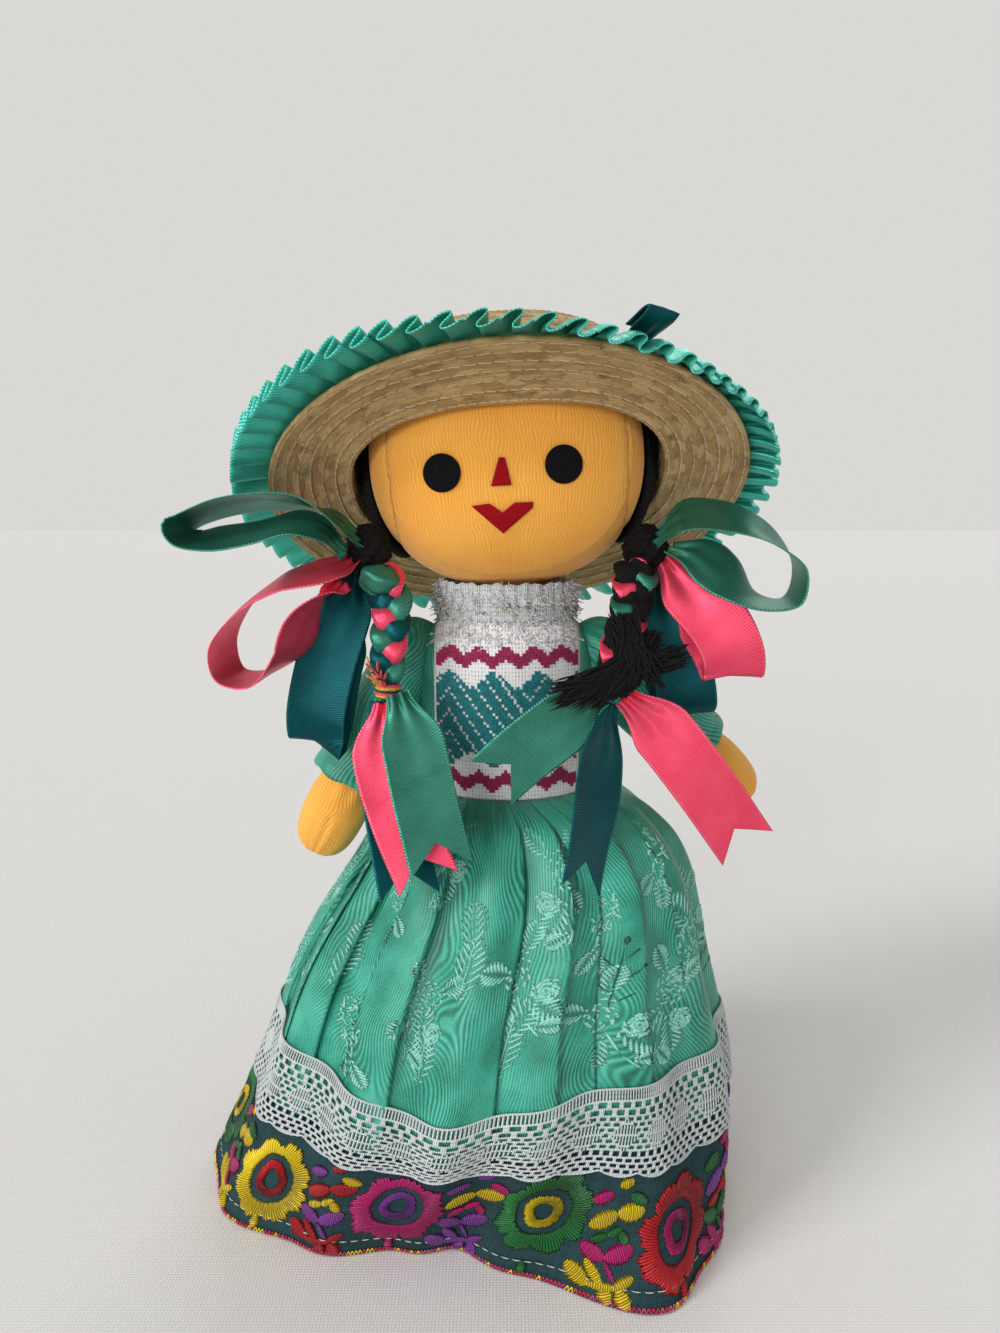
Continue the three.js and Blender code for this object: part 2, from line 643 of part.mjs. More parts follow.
// Stand-up lace collar round the neck, above the bodice
const collarFloor = bodiceCeiling + SEAM_GAP;
const collar = turned([
  [COLLAR_RADIUS - LACE, collarFloor],
  [COLLAR_RADIUS, collarFloor],
  [COLLAR_RADIUS, collarFloor + COLLAR_HEIGHT],
  [COLLAR_RADIUS - LACE, collarFloor + COLLAR_HEIGHT],
  [COLLAR_RADIUS - LACE, collarFloor],
], 36);
add("collar", collar.scale(1, BODY_FLATTEN, 1), silverWhite);

// Arms and sleeves, drawn hanging from the shoulder seam and cut to clear the dressed torso
const dressed = torsoSkin(SEAM_GAP + CLOTH + SWING_GAP, 20);
const shoulderX = CHEST_HALF_WIDTH + SEAM_GAP + CLOTH + 1;
const armProfile = [
  [0, ARM_RADIUS * 0.9],
  [ARM_RADIUS * 0.6, ARM_RADIUS * 0.7],
  [ARM_RADIUS * 0.88, 2],
  [ARM_RADIUS * 0.92, -0.3 * ARM_LENGTH],
  [ARM_RADIUS * 0.95, -0.55 * ARM_LENGTH],
  [ARM_RADIUS * 1.06, -0.74 * ARM_LENGTH],
  [ARM_RADIUS, -0.87 * ARM_LENGTH],
  [ARM_RADIUS * 0.62, -0.97 * ARM_LENGTH],
  [0, -ARM_LENGTH],
];
const sleeveInner = ARM_RADIUS + SLEEVE_EASE;
const sleeveProfile = [
  [sleeveInner - 0.6, 1],
  [sleeveInner, -SLEEVE_LENGTH * 0.5],
  [sleeveInner + 1.2, -SLEEVE_LENGTH],
  [sleeveInner + 1.2 + CLOTH, -SLEEVE_LENGTH],
  [sleeveInner + CLOTH, -SLEEVE_LENGTH * 0.5],
  [sleeveInner - 0.6 + CLOTH, 1],
  [sleeveInner - 0.6, 1],
];

function dressArm(prefix, side, outward, forward) {
  const pivot = new THREE.Vector3(side * shoulderX, 1, SHOULDER_Z);
  const shoulder = new THREE.Group();
  shoulder.position.copy(pivot);
  shoulder.rotation.set(radians(forward), -side * radians(outward), 0, "YXZ");
  doll.add(shoulder);
  const axis = new THREE.Vector3(0, -side, 0);
  const angles = [0, 0.25, 0.5, 0.75, 1].map((part) => part * ARM_SWING);
  const clear = sweptBack(dressed, pivot, shoulder.quaternion, axis, angles);
  const arm = toSolid(turned(armProfile, 14)).subtract(clear);
  const sleeve = toSolid(turned(sleeveProfile, 18)).subtract(clear);
  add(`${prefix}_arm`, toGeometry(arm), ochre, shoulder);
  add(`${prefix}_sleeve`, toGeometry(sleeve), mint, shoulder);
}

dressArm("right", -1, RIGHT_ARM_OUT, -4);
dressArm("left", 1, LEFT_ARM_OUT, 7);

// Legs and feet inside the skirt, cut to clear the torso and flat on the floor
const footHalf = FOOT_LENGTH / 2;
const legProfile = [
  [0, LEG_RADIUS],
  [LEG_RADIUS * 0.7, LEG_RADIUS * 0.7],
  [LEG_RADIUS, 0],
  [LEG_RADIUS * 1.03, -0.3 * HIP_Z],
  [LEG_RADIUS * 0.9, -0.6 * HIP_Z],
  [LEG_RADIUS * 0.85, -0.88 * HIP_Z],
  [0, -0.96 * HIP_Z],
];

function leg(name, side) {
  const pivot = new THREE.Vector3(side * LEG_SPACING / 2, 0, HIP_Z);
  const hip = new THREE.Group();
  hip.position.copy(pivot);
  doll.add(hip);
  const angles = [-1, 0, 1].map((part) => part * LEG_SWING);
  const clear = sweptBack(torsoSkin(SWING_GAP, 20), pivot, hip.quaternion, X_AXIS, angles);
  const foot = new THREE.SphereGeometry(1, 14, 10).scale(LEG_RADIUS * 0.85, footHalf, LEG_RADIUS * 0.8);
  foot.translate(0, LEG_RADIUS * 0.8 - footHalf, LEG_RADIUS * 0.6 - HIP_Z);
  const ground = box(-100, 100, -100, 100, -HIP_Z, 100);
  const stuffed = toSolid(turned(legProfile, 14)).add(toSolid(foot)).intersect(ground).subtract(clear);
  add(name, toGeometry(stuffed), ochre, hip);
}

leg("right_leg", -1);
leg("left_leg", 1);

// Skirt: from the waist it swells over the gathers, then falls to the hem in soft pleats.
// Each stop is (fall from the waist, share of the hem's half width, half depth, shift).
const waistHalf = CHEST_HALF_WIDTH * 0.95 + SEAM_GAP;
const skirtStops = [
  [0, waistHalf / HEM_HALF_WIDTH, (waistHalf * BODY_FLATTEN) / HEM_HALF_DEPTH, 0],
  [0.05, 0.485, 0.6, -0.45],
  [0.17, 0.62, 0.75, -0.5],
  [0.4, 0.765, 0.88, 0],
  [0.68, 0.885, 0.97, 0.3],
  [1, 1, 1, 1],
];

function skirtStop(fall, column) {
  const last = skirtStops.length - 2;
  let low = 0;
  while (low < last && fall > skirtStops[low + 1][0]) {
    low += 1;
  }
  const part = (fall - skirtStops[low][0]) / (skirtStops[low + 1][0] - skirtStops[low][0]);
  return THREE.MathUtils.lerp(skirtStops[low][column], skirtStops[low + 1][column], part);
}

function skirtPoint(angle, height, grow) {
  const fall = 1 - height / WAIST_Z;
  const power = 2 + 0.7 * fall;
  const gather = Math.min(fall / 0.12, 1) * (1 - 0.35 * fall);
  const wander = 0.5 * Math.sin(2 * angle + 1) + 0.35 * Math.sin(3 * angle);
  const pleat = PLEAT_DEPTH * gather * Math.cos(PLEATS * angle + wander + 0.6 * fall);
  const halfX = HEM_HALF_WIDTH * skirtStop(fall, 1) + pleat + grow;
  const halfY = HEM_HALF_DEPTH * skirtStop(fall, 2) + pleat + grow;
  const x = Math.cos(angle);
  const y = Math.sin(angle);
  const scale = (Math.abs(x / halfX) ** power + Math.abs(y / halfY) ** power) ** (-1 / power);
  const turn = radians(HEM_TURN) * fall;
  const shift = skirtStop(fall, 3);
  return new THREE.Vector3(scale * x, scale * y, height)
    .applyAxisAngle(new THREE.Vector3(0, 0, 1), turn)
    .add(new THREE.Vector3(HEM_SHIFT.x * shift, HEM_SHIFT.y * Math.min(fall / 0.2, 1), 0));
}

function skirtRing(height, grow) {
  const ring = [];
  const columns = PLEATS * 5;
  for (let j = 0; j < columns; j += 1) {
    ring.push(skirtPoint((j / columns) * Math.PI * 2, height, grow));
  }
  return ring;
}

function skirtShell(heights, inner, outer) {
  const outside = heights.map((height) => skirtRing(height, outer));
  const inside = heights.map((height) => skirtRing(height, inner)).reverse();
  return loft([...outside, ...inside], true);
}

const bandTop = BAND_HEIGHT;
const laceTop = bandTop + LACE_ABOVE;
const laceFloor = bandTop - LACE_BELOW;
const seamMiddle = bandTop + SEAM_GAP / 2;
const skirtHeights = [0, 0.05, 0.12, 0.25, 0.4].map((fall) => WAIST_Z * (1 - fall));
const skirtRows = [...skirtHeights, laceTop, bandTop + SEAM_GAP];
add("skirt", skirtShell(skirtRows, 0, CLOTH), brocade);
add("hem_band", skirtShell([bandTop, laceFloor, 0], 0, CLOTH), slate);
const laceInner = CLOTH + 2 * SEAM_GAP;
add("lace_trim", skirtShell([laceTop, seamMiddle, laceFloor], laceInner, laceInner + LACE), silverWhite);

// The origin is under the middle of the whole doll
const bounds = new THREE.Box3().setFromObject(doll, true);
const middle = bounds.getCenter(new THREE.Vector3());
doll.position.set(-middle.x, -middle.y, -bounds.min.z);

const group = new THREE.Group();
group.add(doll);

export default group;
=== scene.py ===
import json
from functools import partialmethod

import bmesh
import bpy
import numpy as np
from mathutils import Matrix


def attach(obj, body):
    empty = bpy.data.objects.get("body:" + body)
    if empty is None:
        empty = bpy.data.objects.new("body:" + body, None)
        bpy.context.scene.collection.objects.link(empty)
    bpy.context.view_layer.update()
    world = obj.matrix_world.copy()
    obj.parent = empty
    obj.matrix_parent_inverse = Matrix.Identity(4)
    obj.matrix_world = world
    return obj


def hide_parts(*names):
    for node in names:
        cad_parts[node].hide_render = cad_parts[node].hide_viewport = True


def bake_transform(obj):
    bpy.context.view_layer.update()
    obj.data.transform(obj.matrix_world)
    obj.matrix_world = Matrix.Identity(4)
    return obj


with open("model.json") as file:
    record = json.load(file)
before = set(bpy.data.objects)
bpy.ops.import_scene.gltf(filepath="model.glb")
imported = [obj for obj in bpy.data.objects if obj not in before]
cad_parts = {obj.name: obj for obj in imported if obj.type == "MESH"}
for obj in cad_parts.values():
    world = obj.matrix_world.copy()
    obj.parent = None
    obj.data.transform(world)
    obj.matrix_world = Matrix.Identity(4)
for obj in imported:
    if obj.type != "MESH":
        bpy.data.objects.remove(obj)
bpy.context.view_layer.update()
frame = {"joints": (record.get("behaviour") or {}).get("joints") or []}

# Camera: held level with the hat, 35 cm in front of the doll and looking 10 degrees down.
# The doll's upright axis runs through its neck joint. Sizes below are millimetres from that axis.
MM = 0.001
joints = {joint["name"]: joint for joint in frame["joints"]}
doll_axis = np.array(joints["head_tilt"]["pos_m"]) * (1, 1, 0)
CAMERA_PLACE = (-2.4, -350, 251)
CAMERA_PITCH = 10
CAMERA_LENS = 27.0


def in_frame(points):
    """Doll millimetres to frame metres: scaled down, then moved to the doll's axis."""
    return np.asarray(points) * MM + doll_axis


camera = bpy.data.objects.new("camera", bpy.data.cameras.new("camera"))
camera.location = in_frame(CAMERA_PLACE)
camera.rotation_euler = (np.radians(90 - CAMERA_PITCH), 0, 0)
camera.data.lens = CAMERA_LENS
scene = bpy.context.scene
scene.collection.objects.link(camera)
scene.camera = camera
scene.view_settings.view_transform = "Standard"

# Torso: a bag of ochre cotton turned right side out, stuffed hard and flattened front to back.
# The dress covers it but for the neck, and its underside shows from beneath the skirt.
BODY_FLATTEN = 0.8
TORSO_RADIUS = 30
TORSO_PROFILE = [
    (0, 98), (18, 101), (25.9, 110), (29, 126), (28.4, 147), (29.3, 165), (30.5, 181),
    (30.5, 194), (27.5, 201.2), (22.8, 206.1), (20, 208.9), (19, 213.3), (11.8, 219), (0, 221.6),
]
COTTON_BRIGHT = "ffc457"
COTTON_DEEP = "ee9122"
COTTON_PITCH = 0.55
COTTON_WALE = 1.05


def run_along(line):
    """Distance from the start of a line to each of its points."""
    return np.append(0, np.cumsum(np.linalg.norm(np.diff(line, axis=0), axis=1)))


def evenly(line, count):
    """Stations evenly spaced along a line, straight between its points. Columns past the third are
    carried along with the place."""
    run = run_along(line[:, :3])
    even = np.linspace(0, run[-1], count)
    return np.stack([np.interp(even, run, column) for column in line.T], axis=1)


def spline(knots, count):
    """Centripetal Catmull-Rom curve through the knots, at stations evenly spaced along its length.
    Columns past the third, such as a crosswise direction, are eased in the same way."""
    knots = np.asarray(knots, float)
    held = np.vstack([2 * knots[:1] - knots[1:2], knots, 2 * knots[-1:] - knots[-2:-1]])
    gap = np.linalg.norm(np.diff(held[:, :3], axis=0), axis=1)[:, None] ** 0.5
    slope = np.diff(held, axis=0) / gap
    chord = (held[2:] - held[:-2]) / (gap[1:] + gap[:-1])
    pull = slope[:-1] - chord + slope[1:]
    start, end = knots[:-1, None], knots[1:, None]
    leave = (pull[:-1] * gap[1:-1])[:, None]
    arrive = (pull[1:] * gap[1:-1])[:, None]
    t = np.linspace(0, 1, 24, endpoint=False)[:, None]
    curve = start * (1 + 2 * t) * (1 - t) ** 2 + end * t * t * (3 - 2 * t)
    curve = curve + leave * t * (1 - t) ** 2 - arrive * t * t * (1 - t)
    return evenly(np.vstack([curve.reshape(-1, knots.shape[1]), knots[-1:]]), count)


def grid(*columns):
    """Fields of one grid set side by side as the coordinates of its points."""
    return np.stack(np.broadcast_arrays(*columns), axis=-1)


def circuit(steps):
    """Angles once round in even steps, back to where they began."""
    return np.linspace(0, 2 * np.pi, steps + 1)


def revolve(radius, angle, height, flatten=1.0):
    """Points round the upright axis at a radius, an angle and a height, flattened front to back."""
    return grid(radius * np.cos(angle), flatten * radius * np.sin(angle), height)


def lumps(points, pitch):
    """Uneven stuffing, from -1 to 1: three crossed waves about a pitch apart, each out of step."""
    x, y, z = np.moveaxis(np.asarray(points) / pitch, -1, 0)
    waves = np.sin(6.1 * x + 2.3 * z) + np.sin(5.3 * y - 3.1 * x + 1) + np.sin(5.7 * z + 2.9 * y + 2)
    return waves / 3


def add_piece(name, body, points, cloth, material, nodes=(), thick=0.0, tint=None, keep=None):
    """One mesh from grids of points, rows by columns, in doll millimetres: each cell is a quad, edges and
    poles that meet are merged, and cloth holds each point's place on the flat cloth in millimetres.
    A piece with no body of its own is left without a parent."""
    points = np.asarray(points, float)
    grids = points.reshape(-1, *points.shape[-3:])
    index = np.arange(grids[..., 0].size).reshape(grids.shape[:3])
    corners = [index[:, :-1, :-1], index[:, :-1, 1:], index[:, 1:, 1:], index[:, 1:, :-1]]
    quads = np.stack(corners, axis=-1).reshape(-1, 4)
    if keep is not None:
        quads = quads[np.asarray(keep).ravel()]
    mesh = bpy.data.meshes.new(name)
    mesh.from_pydata(in_frame(grids.reshape(-1, 3)), [], quads)
    flat = np.broadcast_to(cloth, points.shape[:-1] + (2,)).reshape(-1, 2)
    mesh.uv_layers.new(name="cloth").data.foreach_set("uv", flat[quads.ravel()].ravel())
    if tint is not None:
        colours = np.broadcast_to(tint, points.shape[:-1] + (4,)).reshape(-1)
        mesh.color_attributes.new("tint", "FLOAT_COLOR", "POINT").data.foreach_set("color", colours)
    work = bmesh.new()
    work.from_mesh(mesh)
    bmesh.ops.delete(work, geom=[vert for vert in work.verts if not vert.link_faces], context="VERTS")
    bmesh.ops.remove_doubles(work, verts=work.verts, dist=1e-6)
    bmesh.ops.recalc_face_normals(work, faces=work.faces)
    work.to_mesh(mesh)
    work.free()
    mesh.shade_smooth()
    mesh.materials.append(material)
    piece = bpy.data.objects.new(name, mesh)
    scene.collection.objects.link(piece)
    if thick:
        wall = piece.modifiers.new("thickness", "SOLIDIFY")
        wall.thickness = thick * MM
        wall.offset = 0
    if body:
        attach(piece, body)
    if nodes:
        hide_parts(*nodes)
    return piece


def dyed(code):
    """Linear colour of a six-digit sRGB code."""
    value = np.array([int(code[i:i + 2], 16) for i in (0, 2, 4)]) / 255
    linear = np.where(value <= 0.04045, value / 12.92, ((value + 0.055) / 1.055) ** 2.4)
    return (*linear, 1.0)


class Field:
    """A number or colour that varies over a surface; arithmetic on it adds Math nodes to its tree."""

    def __init__(self, tree, socket):
        self.tree = tree
        self.socket = socket

    def math(self, operation, *others):
        """This field and others through one Math node."""
        node = self.tree.nodes.new("ShaderNodeMath")
        node.operation = operation
        for socket, value in zip(node.inputs, (self, *others)):
            plug(self.tree, value, socket)
        return Field(self.tree, node.outputs[0])

    __add__ = __radd__ = partialmethod(math, "ADD")
    __mul__ = partialmethod(math, "MULTIPLY")
    __sub__ = partialmethod(math, "SUBTRACT")
    __truediv__ = partialmethod(math, "DIVIDE")
    __mod__ = partialmethod(math, "FLOORED_MODULO")
    __lt__ = partialmethod(math, "LESS_THAN")
    __abs__ = partialmethod(math, "ABSOLUTE")
    sine = partialmethod(math, "SINE")
    floor = partialmethod(math, "FLOOR")

    def __rsub__(self, other):
        return self * -1 + other

    def wave(self, pitch):
        """Cosine ripple from 0 to 1, one ripple to each pitch."""
        return (self * (2 * np.pi / pitch)).math("COSINE") * 0.5 + 0.5

    def ease(self, low, high):
        """0 below low, 1 above high and an S-curve between them."""
        node = self.tree.nodes.new("ShaderNodeMapRange")
        node.interpolation_type = "SMOOTHSTEP"
        for name, value in {"Value": self, "From Min": low, "From Max": high}.items():
            plug(self.tree, value, node.inputs[name])
        return Field(self.tree, node.outputs[0])


def plug(tree, value, socket):
    """A field is linked to the socket, a plain number or colour is written there."""
    if isinstance(value, Field):
        tree.links.new(value.socket, socket)
    else:
        socket.default_value = value


class Finish:
    """A material or a node group under way, with short calls that add nodes to its tree."""

    def __init__(self, tree):
        self.tree = tree

    def add(self, kind, inputs=(), outlet=0, **settings):
        """A node of one kind with its settings made and its inputs fed: one of its outputs."""
        node = self.tree.nodes.new("ShaderNode" + kind)
        for name, value in settings.items():
            setattr(node, name, value)
        for name, value in dict(inputs).items():
            plug(self.tree, value, node.inputs[name])
        return Field(self.tree, node.outputs[outlet])

    def cloth(self):
        """Millimetres across and along the piece's own cloth."""
        flat = self.add("UVMap", uv_map="cloth")
        return [self.add("SeparateXYZ", {"Vector": flat}, axis) for axis in (0, 1)]

    def tint(self):
        """Colour that the mesh carries at each point."""
        return self.add("Attribute", attribute_name="tint", outlet="Color")

    def noise(self, across, along, pitch, detail=2.0):
        """Cloudy value from 0 to 1 with features about a pitch apart."""
        place = self.add("CombineXYZ", {"X": across / pitch, "Y": along / pitch})
        return self.add("TexNoise", {"Vector": place, "Scale": 1.0, "Detail": detail})

    def chance(self, across, along):
        """One random value from 0 to 1 for each whole number of across and along."""
        place = self.add("CombineXYZ", {"X": across.floor(), "Y": along.floor()})
        return self.add("TexWhiteNoise", {"Vector": place}, "Value")

    def mix(self, share, low, high):
        """Colour between low and high."""
        return self.add("Mix", {0: share, 6: low, 7: high}, 2, data_type="RGBA")

    def placed(self, group, **inputs):
        """A node group's outputs, in order, with its inputs fed."""
        node = self.tree.nodes.new("ShaderNodeGroup")
        node.node_tree = group
        for name, value in inputs.items():
            plug(self.tree, value, node.inputs[name])
        return [Field(self.tree, socket) for socket in node.outputs]


def start_group(name, inputs, outputs):
    """A node group with number sockets: its finish and its inputs as fields."""
    tree = bpy.data.node_groups.new(name, "ShaderNodeTree")
    for socket in inputs:
        tree.interface.new_socket(socket, in_out="INPUT", socket_type="NodeSocketFloat")
    for socket in outputs:
        tree.interface.new_socket(socket, in_out="OUTPUT", socket_type="NodeSocketFloat")
    given = tree.nodes.new("NodeGroupInput")
    return Finish(tree), [Field(tree, given.outputs[socket]) for socket in inputs]


def end_group(group, **results):
    """Fields to the group's own outputs."""
    taken = group.tree.nodes.new("NodeGroupOutput")
    for name, field in results.items():
        plug(group.tree, field, taken.inputs[name])
    return group.tree


def start_finish(name, constants):
    """A material whose shader has these constants on its own sockets."""
    material = bpy.data.materials.new(name)
    material.use_nodes = True
    finish = Finish(material.node_tree)
    finish.shader = material.node_tree.nodes["Principled BSDF"]
    finish.material = material
    for socket, value in constants.items():
        finish.shader.inputs[socket].default_value = value
    return finish


def end_finish(finish, colour, roughness, height):
    """Fields to the material's shader: a colour, a roughness, and a height in millimetres as bump."""
    bump = finish.add("Bump", {"Height": height, "Distance": MM, "Strength": 1.0})
    for socket, field in {"Base Color": colour, "Roughness": roughness, "Normal": bump}.items():
        plug(finish.tree, field, finish.shader.inputs[socket])
    return finish.material


# Plain weave: warp and weft ripple over each other, and each thread has its own tone
weave, (across, along, pitch) = start_group(
    "plain weave", ["across", "along", "pitch"], ["height", "tone"])
over = ((across / pitch * np.pi).sine() * (along / pitch * np.pi).sine()).ease(-0.3, 0.3)
warp, weft = (across / pitch).wave(1), (along / pitch).wave(1)
plain_weave = end_group(
    weave,
    height=weft + over * (warp - weft),
    tone=(weave.chance(across / pitch, along * 0) + weave.chance(across * 0, along / pitch)) * 0.5,
)

cotton = start_finish("ochre_cotton", {"Sheen Weight": 0.15, "Sheen Roughness": 0.5})
across, along = cotton.cloth()
thread, tone = cotton.placed(plain_weave, across=across, along=along, pitch=COTTON_PITCH)
drift = cotton.noise(across, along, 13.0)
wale = (across + drift * 6.5).wave(COTTON_WALE)
cloudy = cotton.noise(across, along, 26.0, 4.0)
ochre_cotton = end_finish(
    cotton,
    cotton.mix(
        (wale * 0.42 + thread * 0.18 + tone * 0.12 + cloudy * 0.5 - 0.06).ease(0, 1.1),
        dyed(COTTON_DEEP), dyed(COTTON_BRIGHT)),
    0.95 - thread * 0.15,
    wale * 0.08 + thread * 0.05,
)

torso_line = spline(TORSO_PROFILE, 60)
turn = circuit(64)
bag = revolve(torso_line[:, :1], turn, torso_line[:, 1:], BODY_FLATTEN)
torso = add_piece(
    "stuffed_torso", "dressed_torso", bag, grid(TORSO_RADIUS * turn, bag[..., 2]), ochre_cotton, ["torso"])

# Legs: two stuffed cotton tubes with a foot turned forward, sewn to the torso at the hips.
# Each row of an outline is height, half width, and how far the front and the back reach.
HIP_OUT = 15.5
LEG_RADIUS = 12
LEG_SEAM_SINK = 0.5
LEG_OUTLINE = [
    (0, 0, -7, -7), (0, 5, -17, 2), (0.6, 8.2, -21.5, 6.5), (3.5, 9.9, -24, 9.2), (8, 10.2, -24.2, 9.8),
    (13, 10.2, -20, 10), (18, 10.2, -12.4, 10.2), (26, 10.3, -10.6, 10.4), (40, 10.9, -10.9, 10.9),
    (66, 12.3, -12.3, 12.3), (88, 12.2, -12.2, 12.2), (95, 10.8, -10.8, 10.8), (98.5, 6.5, -6.5, 6.5),
    (99.5, 0, 0, 0),
]
height, half_width, front, back = spline(LEG_OUTLINE, 90).T[..., None]
turn = circuit(48)
bag = grid(half_width * np.cos(turn), (front + back) / 2 + (back - front) / 2 * np.sin(turn), height)
side_seam = np.exp(-(np.cos(turn) ** 2 - 1) ** 2 / 0.002)
bag[..., 0] -= LEG_SEAM_SINK * side_seam * np.sign(np.cos(turn)) * np.minimum(half_width / 6, 1)
for name, side in (("right_leg", -1), ("left_leg", 1)):
    leg = add_piece(
        f"stuffed_{name}", name, bag + (side * HIP_OUT, 0, 0), grid(LEG_RADIUS * turn, height), ochre_cotton,
        [name])

# Arms: stuffed cotton tubes that end in a mitten hand, sewn shut at the shoulder and hung inside the sleeve.
# Each hangs from its shoulder joint, turned outwards and a little forwards or back.
ARM_PROFILE = [
    (0, 7.6), (5, 6.2), (8.6, 2), (9.4, -12), (9.5, -28), (9.8, -44), (10.3, -52), (11.3, -60),
    (11.1, -68), (9.4, -75), (6, -79.4), (0, -81),
]
ARM_POSE = {"right": (-1, 27, -4), "left": (1, 45, 7)}
SHOULDER = (33, 1, 194)
WRIST = -53
ARM_RADIUS = 10
HAND_LENGTH = 20
THUMB_TOP = -63
THUMB_TURN = 1.5 * np.pi
PUCKER_RISE, ARM_SEAM_SINK, THUMB_SINK, ARM_LUMP = 0.28, 0.45, 0.8, 0.35


def bell(distance, spread):
    """Bell curve: 1 at no distance, and 1/e where the distance is the spread."""
    return np.exp(-(distance / spread) ** 2)


def turned(points, axis, degrees):
    """Points turned right-handed about the x, y or z axis (0, 1 or 2)."""
    first, second = (axis + 1) % 3, (axis + 2) % 3
    cos, sin = np.cos(np.radians(degrees)), np.sin(np.radians(degrees))
    out = np.array(points, float)
    out[..., first] = cos * points[..., first] - sin * points[..., second]
    out[..., second] = sin * points[..., first] + cos * points[..., second]
    return out


def on_arm(points, arm):
    """Points drawn hanging from the shoulder, swung forward, then outward, and put at the joint."""
    side, outward, forward = ARM_POSE[arm]
    return turned(turned(points, 0, forward), 1, -side * outward) + (side * SHOULDER[0], *SHOULDER[1:])


radius, height = spline(ARM_PROFILE, 110).T[..., None]
turn = circuit(72)
hand = np.clip((WRIST - height) / HAND_LENGTH, 0, 1)
pucker = bell(height - WRIST, 5) * np.cos(11 * turn)
pucker = pucker + 0.6 * np.clip(hand * 2 - 1, 0, 1) * np.cos(9 * turn + 1)
seam = np.exp(-(np.sin(turn) ** 2) / 0.006)
tuck = bell(turn - THUMB_TURN, 0.09) * np.clip((THUMB_TOP - height) / 3, 0, 1)
tuck = tuck + bell(height - THUMB_TOP + 1, 0.9) * bell(turn - THUMB_TURN, 0.5)
closed_end = np.minimum(radius / 6, 1)
plump = radius + closed_end * (PUCKER_RISE * pucker - ARM_SEAM_SINK * seam - THUMB_SINK * tuck)
tube = grid(plump * np.cos(turn), plump * np.sin(turn) * (1 - 0.1 * hand), height)
stuffing = ARM_LUMP * lumps(tube, 26) * closed_end
tube = tube + stuffing[..., None] * revolve(1, turn, 0)
for arm_name in ARM_POSE:
    arm = add_piece(
        f"stuffed_{arm_name}_arm", f"{arm_name}_arm", on_arm(tube, arm_name),
        grid(ARM_RADIUS * turn, height), ochre_cotton, [f"{arm_name}_arm"])

# Head: a rounded block of stuffing in ochre cotton, a wide band over the face and two side gussets.
# The gusset seams pull in a groove with small puckers, and the head leans a little to the doll's right.
HEAD_HALF = np.array([47.0, 41.0, 40.0])
HEAD_POWER = 2.25
CHIN = np.array([0, 0, 3.8])
HEAD_LEAN = -4
HEAD_CENTRE = np.array([0, 0, 261.9])
GUSSET = 38.6
SEAM_SINK, SEAM_PUCKER, HEAD_LUMP = 0.45, 0.14, 0.45


def head_skin(direction, grow):
    """Point of the head in each direction from its centre: a box with rounded sides, grown by a layer and
    deeper at the chin, whose reaches to the power of HEAD_POWER add up to one. Not yet leaning."""
    half = HEAD_HALF + grow + CHIN * (direction[..., 2:] < 0)
    share = (np.abs(direction / half) ** HEAD_POWER).sum(axis=-1, keepdims=True)
    return direction * share ** (-1 / HEAD_POWER)


def on_head(points):
    """Points about the head's centre, leaned and put on the neck."""
    return turned(points, 1, HEAD_LEAN) + HEAD_CENTRE


away = np.linspace(0, np.pi, 191)[:, None]
turn = circuit(240)
toward = grid(-np.cos(away), -np.sin(away) * np.cos(turn), np.sin(away) * np.sin(turn))
skull = head_skin(toward, 0)
beside_seam = np.abs(skull[..., 0]) - GUSSET
wobble = 40 * turn + 2.1 * np.sin(5 * turn) + 1.7 * np.sin(13 * turn + skull[..., 0])
sink = -SEAM_SINK * bell(beside_seam, 1.2)
sink = sink + SEAM_PUCKER * (np.cos(wobble) - 1) * np.exp(-np.abs(beside_seam) / 3.2)
sink = sink + HEAD_LUMP * (lumps(skull, 60) - 1) * (toward[..., 1] > -0.5)
skull = skull + sink[..., None] * toward
fanned = skull[..., 0] / (1 - 0.42 * (skull[..., 2] / HEAD_HALF[2]) ** 2)
face_map = grid(fanned, skull[..., 2])
head_map = np.where((beside_seam < 0)[..., None], face_map, skull[..., 1:])
head = add_piece("stuffed_head", "dressed_head", on_head(skull), head_map, ochre_cotton, ["head"])

# Face: eyes of black felt, nose and mouth of red felt, cut out with scissors and glued on flat.
# Each outline is given in millimetres from the middle of the face, and lies against the head.
FACE_X = -1.6
EYE_Z = 257.5
EYE_OUT = np.array([18.7, 1.3])
EYE_RADIUS = 5.9
NOSE_CORNERS = [(-1.2, 3.3), (0.6, 3.3), (2.7, -5.0), (-3.6, -5.3)]
MOUTH_CORNERS = [
    (-9.6, -11.3), (-4.0, -10.5), (0, -13.3), (3.7, -10.2), (9.4, -10.0), (9.3, -11.8), (0.2, -19.8),
]
FELT_LAYERS = [
    (0, 1.2), (0.35, 1.22), (0.75, 1.2), (0.93, 1.14), (0.985, 0.95), (1, 0.6), (0.98, 0.25), (0, 0.2),
]
FELT_DYES = {"black_felt": ("141316", "050406"), "red_felt": ("ae0d1b", "780311")}


def straight_outline(corners, count):
    """Closed outline with straight sides, points evenly spaced."""
    return evenly(np.array([*corners, corners[0]], float), count)


